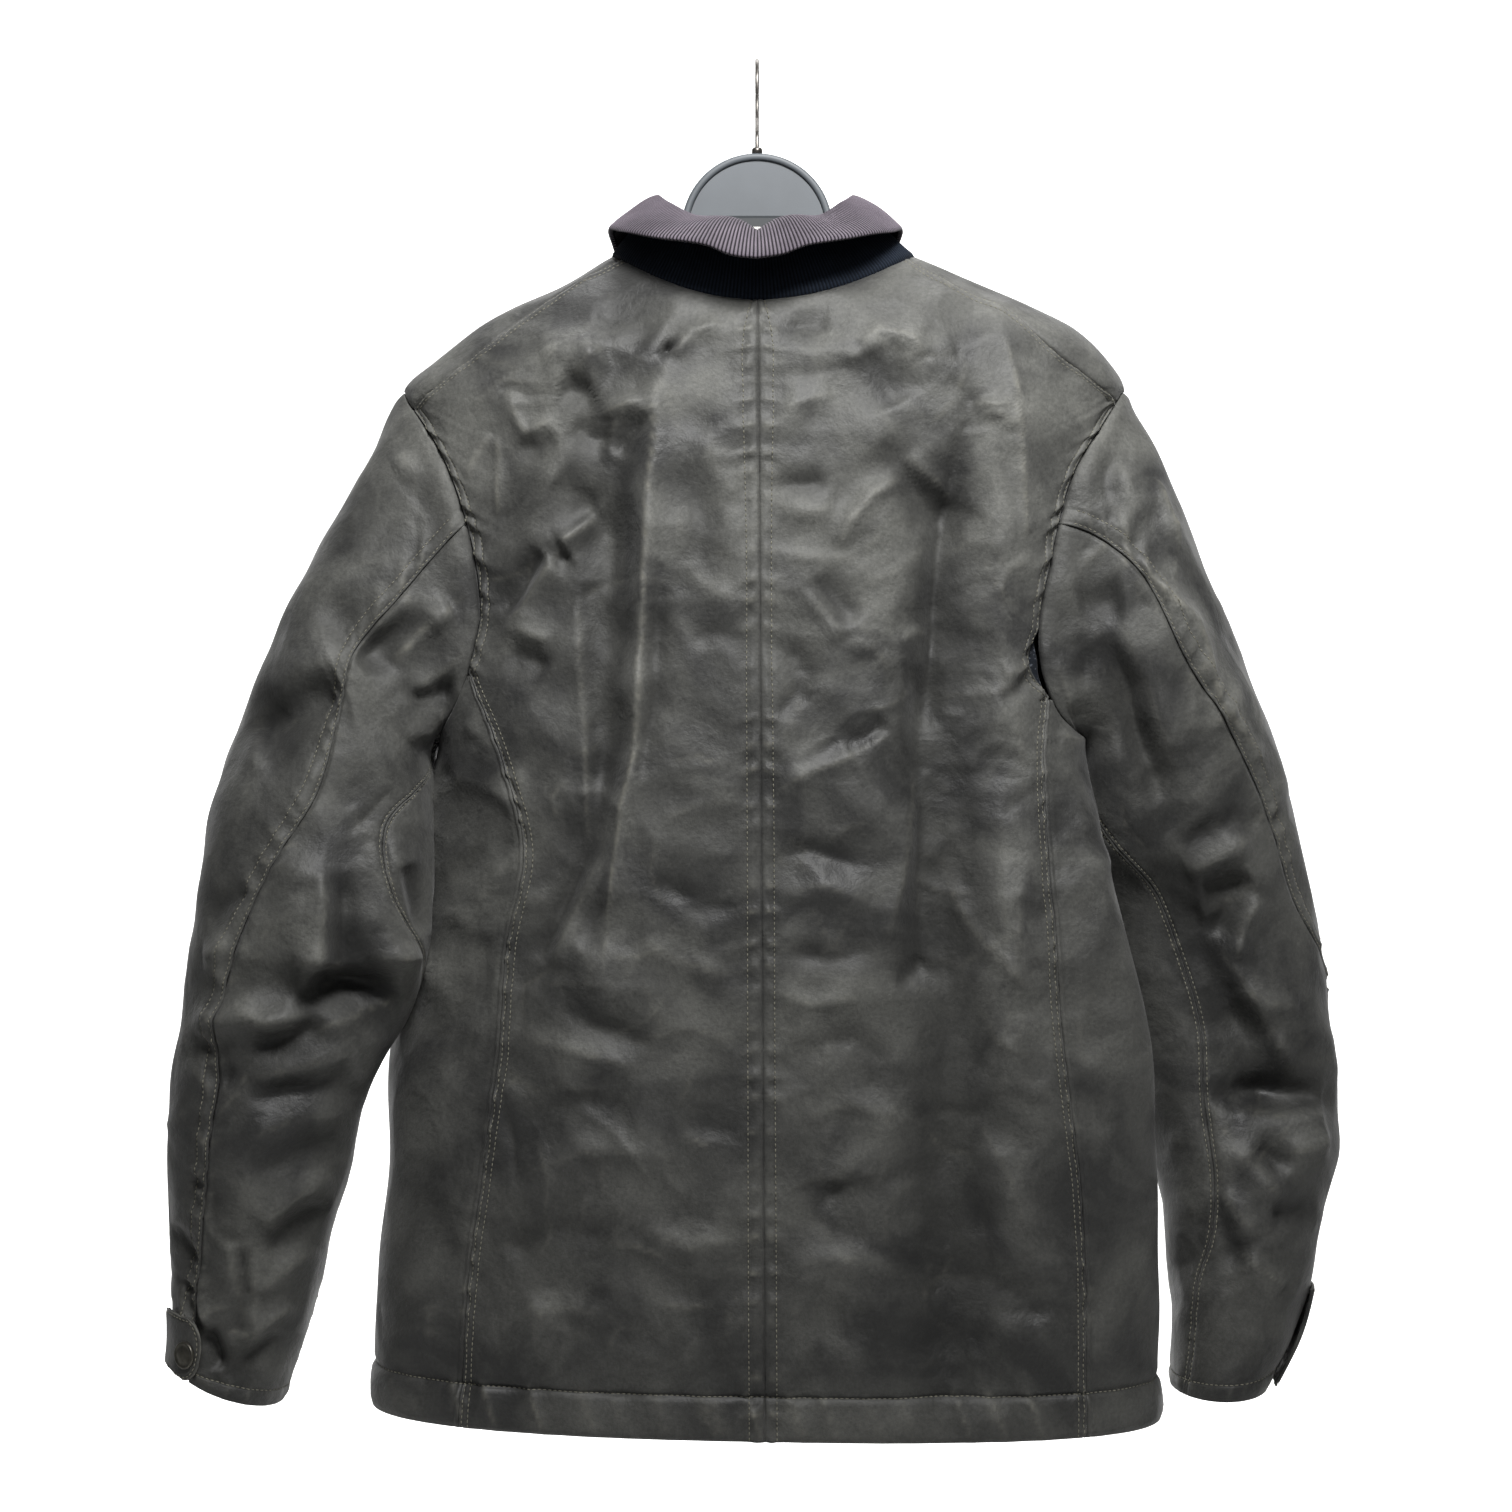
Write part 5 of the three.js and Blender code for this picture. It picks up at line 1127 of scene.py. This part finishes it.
# COLLAR
# A stand and a fall of corduroy: cotton pile cut into ribs, one every 2.2 mm, that run across the
# collar. The fall lies over the stand from the roll down. Rubbed ribs look paler and mauve, the grooves
# between them are painted dark as shade, and the stand has a near-black navy copy of the corduroy: painted
# shade for the fall's shadow on it.
COLLAR = table("turn roll reach drop", [
    [0, -119, 47, 26.5], [9, -113, 46, 30.3], [18, -110, 45, 27], [38, -107, 41, 22], [60, -96, 35, 23],
    [80, -88, 30, 24], [100, -92, 28, 27], [125, -112, 34, 42], [150, -138, 33, 54],
    [180, -160, 30, 58]])
ROLL = {"left": 68, "right": 66, "back": 50, "front": 52}
CORDUROY, RIB, FALL_END = 3.0, 2.2, 148


def roll(angle):
    """The collar's top line, an oval at the table's heights, and the direction out from it."""
    across, depth = np.sin(angle), np.cos(angle)
    wide = np.where(across < 0, ROLL["left"], ROLL["right"])
    deep = np.where(depth > 0, ROLL["back"], ROLL["front"])
    height = between(COLLAR, "turn", "roll", np.degrees(np.abs(angle)))
    outward = unit(np.stack([across / wide, -depth / deep, np.zeros(across.shape)], -1))
    return np.stack([across * wide, -depth * deep, height], -1), outward


def stand_form(angle, share):
    """The stand leans in from the neck seam to just under the fall."""
    foot = trunk_form(angle, NECK)
    top, _ = roll(angle)
    top[..., 2] -= 5 + 0.045 * between(COLLAR, "turn", "drop", np.degrees(np.abs(angle)))
    return foot + (top - foot) * share[..., None]


def fall_form(angle, up):
    """The fall starts inside the roll and reaches out, dropping by drop * share^1.4."""
    share = 1 - up
    point, outward = roll(angle)
    at = lambda column: between(COLLAR, "turn", column, np.degrees(np.abs(angle)))
    point = point + outward * ((at("reach") + CORDUROY) * share - CORDUROY)[..., None]
    point[..., 2] -= at("drop") * np.clip(share, 0, 2) ** 1.4
    return point


def ribbed_sheet(form, end, rows, middle, per_rib, edge):
    """A ribbed sheet between two angles: columns at even steps of its length, and ribs whose height is
    0.75 mm * |cos(pi * run / rib)|^0.8, lower at the sheet's edges."""
    fine = np.linspace(-end, end, 900)
    line = form(fine, np.full(fine.shape, middle))
    run = np.concatenate([[0], np.cumsum(np.linalg.norm(np.diff(line, axis=0), axis=1))])
    runs = np.linspace(0, run[-1], int(run[-1] / RIB) * per_rib + 1)
    angle, share = np.meshgrid(np.interp(runs, run, fine), rows)
    runs = np.broadcast_to(runs, angle.shape)
    base = form(angle, share)
    normals = normal_of(form, angle, np.clip(share, 0.03, 0.97), 0.01, 0.02)
    ribs = np.abs(np.cos(np.pi * runs / RIB)) ** 0.8
    height = 0.75 * ribs * edge(share) - 0.9 * (1 - edge(share)) + waves(runs, share * 50, 91, 45, 0.5)
    # The rib profile is kept as wear; the corduroy material paints shade into the grooves from it.
    return {"points": base + normals * height[..., None], "normals": normals, "worn": ribs,
            "uv": np.stack([runs, share * 50], -1)}


def corduroy(name, groove, crest, sheen):
    """Cut cotton pile: a material that is painted dark in the grooves, as shade, and paler on the rubbed
    ribs, with a soft sheen where the pile's ends catch the light."""
    material, add = new_material(name)
    place = add("ShaderNodeTexCoord").outputs["Object"]
    lint = add("ShaderNodeTexNoise", {"Vector": place, "Scale": 900, "Detail": 3})
    rubbed = add("ShaderNodeTexNoise", {"Vector": place, "Scale": 30, "Detail": 4})
    ribs = add("ShaderNodeAttribute", attribute_name="wear")
    lifted = add("ShaderNodeMapRange", {"Value": ribs.outputs["Fac"], "From Min": 0.4, "From Max": 1.0})
    worn = add("ShaderNodeMapRange", {"Value": rubbed.outputs["Fac"], "From Min": 0.3, "From Max": 0.7,
                                      "To Min": 0.6, "To Max": 1.0})
    share = add("ShaderNodeMath", {0: lifted.outputs[0], 1: worn.outputs[0]}, operation="MULTIPLY")
    # Painted shade in the grooves: the rib profile mixes in the near-black groove colour where the ribs are
    # low, and the rubbed noise pales the crests.
    tone = add("ShaderNodeMix", {0: share.outputs[0], 6: linear(groove), 7: linear(crest)},
               data_type="RGBA")
    nap = add("ShaderNodeBump", {"Height": lint.outputs["Fac"], "Distance": 0.0004, "Strength": 0.7})
    pile = add("ShaderNodeBsdfPrincipled", {"Base Color": tone.outputs[2], "Roughness": 0.9,
                                            "Normal": nap.outputs[0], "Sheen Weight": sheen,
                                            "Sheen Roughness": 0.4, "Specular IOR Level": 0.15})
    add("ShaderNodeOutputMaterial", {"Surface": pile.outputs[0]})
    return material


fall_edge = lambda up: np.clip(up / 0.05, 0, 1) ** 0.5
fall_rows = np.concatenate([[0, 0.01, 0.025, 0.045, 0.07], np.linspace(0.1, 1, 20)])
cloth_piece("collar_fall_cloth", [ribbed_sheet(fall_form, np.radians(FALL_END), fall_rows, 0.4, 6,
                                               fall_edge)],
            corduroy("corduroy, cotton, rubbed", "#131016", "#776f78", 0.1),
            ["collar_fall"], thickness=CORDUROY)
# Painted shade: the stand's corduroy is a darker, near-black navy copy of the fall's, for the shade the fall
# casts on it.
cloth_piece("collar_stand_cloth", [ribbed_sheet(stand_form, np.pi - 0.003, np.linspace(0, 1, 15), 0.3, 4,
                                                lambda up: np.clip(up / 0.04 + 0.3, 0, 1))],
            corduroy("corduroy, cotton, painted_shade_navy", "#0b0f16", "#242c38", 0.05),
            ["collar_stand"], thickness=CORDUROY)

# NECK LABEL
# A plain white woven tape with folded edges, sewn inside the collar. A sliver of it shows in the dip.
label_angles, label_heights = np.meshgrid(np.radians(np.linspace(-11, 11, 40)), np.linspace(-146, -116.5, 30))
middle, outward = roll(label_angles)
middle[..., 2] = label_heights
sway = 0.35 * np.sin(label_heights / 6) - CORDUROY - 1.2
# Woven tape: close white threads that look bright between the dark collar and hanger.
label_white, add = new_material("woven tape, white polyester")
place = add("ShaderNodeTexCoord").outputs["Object"]
weave = add("ShaderNodeTexNoise", {"Vector": place, "Scale": 1200, "Detail": 2})
tone = add("ShaderNodeMix", {0: weave.outputs["Fac"], 6: linear("#cfccc4"), 7: linear("#f2f1ec")},
           data_type="RGBA")
tape = add("ShaderNodeBsdfPrincipled", {"Base Color": tone.outputs[2], "Roughness": 0.55})
add("ShaderNodeOutputMaterial", {"Surface": tape.outputs[0]})
cloth_piece("neck_label_tape", [{"points": middle + outward * sway[..., None], "normals": outward}],
            label_white, ["neck_label"], thickness=0.8)

# CUFF TABS AND SNAPS
# Each cuff closes with a tab of waxed cotton, stitched round its edge. A snap with a domed cap of
# blackened brass is set near the round end. Five more caps close the fly.
CUFF_TABS = {"left": {"from": 28, "to": 74, "snap": 60, "gap": 0.9, "cut": (0.045, 0.045)},
             "right": {"from": 22, "to": -26, "snap": -12, "gap": 0.3, "cut": (0.055, 0.06)}}
TAB_LOW, TAB_HIGH, SNAP_PLACE, TAB_GAP = 0.995, 0.87, 0.935, 0.9


def tab_end(side, place):
    """The tab's round end: 0.6 + 0.4 * sqrt(1 - off^3) of its length, off being 1 at its corners."""
    tab = CUFF_TABS[side]
    off = np.abs(place - (TAB_LOW + TAB_HIGH) / 2) / ((TAB_LOW - TAB_HIGH) / 2)
    return tab["from"] + (tab["to"] - tab["from"]) * (0.6 + 0.4 * np.sqrt(np.clip(1 - off**3, 0, 1)))


def turned(name, profile, centre, axis, material, nodes, sides=40):
    """A turned solid: a profile of radii and heights, taken round an axis through its centre."""
    centre, axis = np.array(centre, float), unit(np.array(axis, float))
    first = unit(np.cross(axis, [0.3, 0.2, 0.9]))
    second = np.cross(axis, first)
    turns = np.linspace(0, 2 * np.pi, sides, endpoint=False)
    ring = np.cos(turns)[:, None] * first + np.sin(turns)[:, None] * second
    profile = np.array(profile, float)
    points = centre + profile[:, None, 1:] * axis + profile[:, None, :1] * ring
    piece, _ = grid_mesh(name, points, closed=True)
    piece.data.materials.append(material)
    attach(piece, "root")
    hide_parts(*nodes)
    return piece


SNAP_PROFILE = [(0, 0), (8.5, 0), (8.5, 0.9), (8.35, 1.5), (7.9, 1.95), (7.3, 2.1), (6.7, 1.9), (6.2, 1.75),
                (4.5, 2.25), (2.2, 2.52), (0, 2.6)]
# Blackened brass: a dull dark metal, rubbed to a glint on its rim.
snap_brass, add = new_material("brass, blackened and rubbed")
place = add("ShaderNodeTexCoord").outputs["Object"]
rub = add("ShaderNodeTexNoise", {"Vector": place, "Scale": 260, "Detail": 4})
tone = add("ShaderNodeMix", {0: rub.outputs["Fac"], 6: linear("#33322f"), 7: linear("#6e6b62")},
           data_type="RGBA")
cap = add("ShaderNodeBsdfPrincipled", {"Base Color": tone.outputs[2], "Metallic": 0.85, "Roughness": 0.38})
add("ShaderNodeOutputMaterial", {"Surface": cap.outputs[0]})
tab_stitches = {}
for side, tab in CUFF_TABS.items():
    places = np.concatenate([[0, 0.006, 0.014, 0.024, 0.036], np.linspace(0.06, 0.94, 34),
                             [0.964, 0.976, 0.986, 0.994, 1]]) * (TAB_LOW - TAB_HIGH) + TAB_HIGH
    shares = np.concatenate([np.linspace(0, 0.85, 24), [0.88, 0.91, 0.935, 0.955, 0.972, 0.986, 1]])
    turn = tab["from"] + (tab_end(side, places)[:, None] - tab["from"]) * shares
    place_of = np.broadcast_to(places[:, None], turn.shape)
    base, normals = sleeve_smooth(side, turn, place_of), sleeve_normal(side, turn, place_of)
    inside = np.minimum(np.minimum(place_of - TAB_HIGH, TAB_LOW - place_of) * 680,
                        np.abs(tab_end(side, place_of) - turn) * 0.95)
    puff = 0.9 * (1 - np.exp(-inside / 1.2)) - 0.7 * np.exp(-(((inside - 3) / 0.8) ** 2))
    height = CLOTH + TAB_GAP + 0.5 + puff + 0.35 * pucker(place_of * 680 + turn, 7, 63) * np.exp(-inside / 6)
    cloth_piece(f"cuff_tab_{side}_cloth", [{
        "points": base + normals * height[..., None], "normals": normals,
        "worn": 0.5 * np.exp(-inside / 0.8), "uv": np.stack([turn, place_of * 680], -1),
        "flipped": (tab["to"] > tab["from"]) == (SIGN[side] < 0)}],
        waxed_cotton, [f"cuff_tab_{side}"])
    loop = np.linspace(TAB_HIGH + 0.0045, TAB_LOW - 0.0045, 60)
    end = tab_end(side, loop) - np.sign(tab["to"] - tab["from"]) * 3.2
    path_turns = np.concatenate([np.linspace(tab["from"], end[0], 20), end,
                                 np.linspace(end[-1], tab["from"], 20)])
    path_places = np.concatenate([np.full(20, loop[0]), loop, np.full(20, loop[-1])])
    path_normals = sleeve_normal(side, path_turns, path_places)
    tab_stitches[side] = (sleeve_smooth(side, path_turns, path_places)
                          + path_normals * (CLOTH + TAB_GAP + 1.0), path_normals)
    at_snap = [np.array([value], float) for value in (tab["snap"], SNAP_PLACE)]
    normal = sleeve_normal(side, *at_snap)[0]
    centre = sleeve_smooth(side, *at_snap)[0] + normal * (CLOTH + TAB_GAP + 1.2)
    turned(f"cuff_snap_{side}_cap", SNAP_PROFILE, centre, normal, snap_brass,
           [f"cuff_snap_{side}"])
for index in range(5):
    level = np.array([-250.0 - 135 * index])
    angle = np.pi - angle_at_width("right", level, 16)
    normal = trunk_normal(angle, level)[0]
    centre = trunk_smooth(angle, level)[0] + normal * (CLOTH + SEAM + 1.0)
    turned(f"fly_snap_{index + 1}_cap", SNAP_PROFILE, centre, normal, snap_brass,
           [f"fly_snap_{index + 1}"])

# HANGER
# A moulded plastic hanger: arms inside the shoulders, and a half-round plate with a raised rim that
# stands up behind the neck. Its steel wire hook turns in a small collar.
# Moulded polypropylene: a cool even grey with the mould's fine matt skin. The arms, inside the jacket, get a
# darker copy of it: painted shade.
grey_plastic, add = new_material("polypropylene, moulded, grey")
place = add("ShaderNodeTexCoord").outputs["Object"]
mottle = add("ShaderNodeTexNoise", {"Vector": place, "Scale": 26, "Detail": 4})
fine = add("ShaderNodeTexNoise", {"Vector": place, "Scale": 1500, "Detail": 2})
tone = add("ShaderNodeMix", {0: mottle.outputs["Fac"], 6: linear("#4e5256"), 7: linear("#5f6469")},
           data_type="RGBA")
skin = add("ShaderNodeBump", {"Height": fine.outputs["Fac"], "Distance": 0.0001, "Strength": 0.4})
moulded = add("ShaderNodeBsdfPrincipled", {"Base Color": tone.outputs[2], "Roughness": 0.5,
                                           "Normal": skin.outputs[0]})
add("ShaderNodeOutputMaterial", {"Surface": moulded.outputs[0]})
# Painted shade: a darker copy of the grey plastic for the arms that sit inside the jacket.
painted_shade_plastic, add = new_material("polypropylene, moulded, dark")
painted_shade_grey = add("ShaderNodeBsdfPrincipled", {"Base Color": linear("#2d3033"), "Roughness": 0.55})
add("ShaderNodeOutputMaterial", {"Surface": painted_shade_grey.outputs[0]})
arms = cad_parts["hanger_body"]
arms.data.materials.clear()
arms.data.materials.append(painted_shade_plastic)
DISC = {"radius": 49, "rim": 4.6, "thick": 4, "rimThick": 8, "centre": -108, "foot": -99.5}


def half_round(name, inner, outer, profile, material, nodes):
    """A half-round moulding: for each step of the turn, a closed profile given as shares from the inner
    to the outer radius and as depths, cut off by a level foot."""
    turns = np.linspace(0, np.pi, 181)
    share, depth = np.array(profile, float).T
    radius = inner + (outer - inner) * share
    reach = np.arcsin((DISC["foot"] - DISC["centre"]) / np.maximum(radius, 12))
    around = reach + (np.pi - 2 * reach) * turns[:, None] / np.pi
    points = np.stack([radius * np.cos(around), np.broadcast_to(depth, around.shape),
                       DISC["centre"] + radius * np.sin(around)], -1)
    points[..., 2] = np.maximum(points[..., 2], DISC["foot"])
    piece, _ = grid_mesh(name, points, closed=True)
    piece.data.materials.append(material)
    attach(piece, "root")
    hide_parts(*nodes)
    return piece


rim_profile = [(0, -2.6), (0.12, -3.5), (0.3, -4), (0.7, -4), (0.88, -3.6), (1, -2.8), (1, 2.8), (0.88, 3.6),
               (0.7, 4), (0.3, 4), (0.12, 3.5), (0, 2.6)]
half_round("hanger_rim_moulding", DISC["radius"] - DISC["rim"], DISC["radius"], rim_profile, grey_plastic,
           ["hanger_rim"])
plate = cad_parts["hanger_disc"]
plate.data.materials.clear()
plate.data.materials.append(grey_plastic)


# Drawn steel wire: grey brown, with a soft shine along its length.
steel, add = new_material("steel wire, drawn and dulled")
place = add("ShaderNodeTexCoord").outputs["Object"]
drawn = add("ShaderNodeTexNoise", {"Vector": place, "Scale": 400, "Detail": 3})
tone = add("ShaderNodeMix", {0: drawn.outputs["Fac"], 6: linear("#4a4744"), 7: linear("#8b8782")},
           data_type="RGBA")
metal = add("ShaderNodeBsdfPrincipled", {"Base Color": tone.outputs[2], "Metallic": 0.9, "Roughness": 0.35})
add("ShaderNodeOutputMaterial", {"Surface": metal.outputs[0]})
WIRE, HOOK_RADIUS = 1.25, 20
foot = DISC["centre"] + DISC["radius"] + SEAM
hook_turns = np.radians(np.linspace(-50, 200, 26))
hook_line = np.concatenate([
    [[0, foot], [0, foot + 6], [1.5, foot + 12.5], [6, foot + 18]],
    np.stack([HOOK_RADIUS * np.cos(hook_turns), WIRE - HOOK_RADIUS + HOOK_RADIUS * np.sin(hook_turns)], -1)])
hook_run = np.concatenate([[0], np.cumsum(np.linalg.norm(np.diff(hook_line, axis=0), axis=1))])
hook_rows = {"run": hook_run, "y": hook_line[:, 0], "z": hook_line[:, 1]}
fine_run = np.linspace(0, hook_run[-1], 260)
wire_y, wire_z = between(hook_rows, "run", "y", fine_run), between(hook_rows, "run", "z", fine_run)
ahead = unit(np.stack([np.zeros(260), np.gradient(wire_y), np.gradient(wire_z)], -1))
side_on = np.cross(ahead, [1.0, 0, 0])
wire_turns = np.linspace(0, 2 * np.pi, 20, endpoint=False)
thick = WIRE * np.sqrt(np.clip(1 - np.clip(1 - (hook_run[-1] - fine_run) / 1.2, 0, 1) ** 2, 0.01, 1))
middle_line = np.stack([np.zeros(260), wire_y, wire_z], -1)
wire_points = middle_line[:, None] + thick[:, None, None] * (
    np.cos(wire_turns)[None, :, None] * np.array([1.0, 0, 0])
    + np.sin(wire_turns)[None, :, None] * side_on[:, None])
caps = [np.broadcast_to(middle_line[0], wire_points[:1].shape), wire_points,
        np.broadcast_to(middle_line[-1], wire_points[:1].shape)]
hook_wire, _ = grid_mesh("hook_wire", np.concatenate(caps), closed=True)
hook_wire.data.materials.append(steel)
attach(hook_wire, "root")
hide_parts("hook")
bore = WIRE + SEAM
turned("hook_collar_ring", [(bore, 0), (bore + 1.9, 0), (bore + 1.9, 2.6), (bore + 1.6, 3.3), (bore + 1, 3.8),
                            (bore + 0.5, 4), (bore, 4), (bore, 0)],
       (0, 0, foot), (0, 0, 1), steel, ["hook_collar"], sides=32)

# STITCHES
# Cotton thread in a lockstitch of 3.3 mm, in single and double rows beside every seam, along the hem
# and the cuffs, and round the cuff tabs.


def lifted(path, by):
    """A row of stitches moved out along its normals."""
    points, normals = path
    return points + normals * by, normals


def level_row(sheet, wanted):
    """The row of a sheet that lies nearest a level."""
    row = np.abs(sheet["level"][:, 0] - wanted).argmin()
    return sheet["points"][row], sheet["normals"][row]


for side in SIGN:
    sheet = backs[side]
    low, top = armhole_level(SIDE_JOINT[side]), armhole_level(SHOULDER_JOINT[side])
    rows = [row_paths(sheet, sheet["from_first"], wanted) for wanted in CENTRE_ROWS]
    rows += [row_paths(sheet, sheet["from_last"], wanted, HEM, low) for wanted in (2.8, 8.6)]
    rows += [row_paths(sheet, sheet["from_last"], wanted, low, top) for wanted in ARMHOLE_ROWS]
    rows += [row_paths(sheet, sheet["from_last"], wanted, top, NECK) for wanted in SHOULDER_ROWS]
    rows.append(level_row(sheet, HEM_STITCH))
    thread(f"stitches_back_{side}", [lifted(row, 0.12) for row in rows], thread_grey)
    rows = []
    for field in fronts[side]:
        if field["level"].min() < HEM_STITCH:
            rows.append(level_row(field, HEM_STITCH))
        if field["seam"] == "armhole":
            rows += [row_paths(field, field["from_first"], wanted) for wanted in ARMHOLE_ROWS]
    thread(f"stitches_front_{side}", [lifted(row, 0.12) for row in rows], thread_grey)
    outer, under = sleeves[side, "outer"], sleeves[side, "under"]
    rows = [row_paths(outer, outer["from_first"], wanted, 0.012, 0.985) for wanted in (1.6, ELBOW_BAND)]
    rows += [row_paths(outer, outer["from_last"], 2.4, 0.012, 0.985),
             row_paths(under, under["from_last"], 2.4, 0.012, 0.985)]
    rows += [level_row(sheet, 1 - 18 / 680) for sheet in (outer, under)]
    rows.append(tab_stitches[side])
    thread(f"stitches_sleeve_{side}", [lifted(row, 0.12) for row in rows], thread_grey)
fly_rows = []
for field in fly_fields:
    edge = field["edge"]
    fly_rows.append(row_paths({**field, "level": field["levels"]}, edge, 4.0))
thread("stitches_fly", [lifted(row, 0.12) for row in fly_rows], thread_grey)
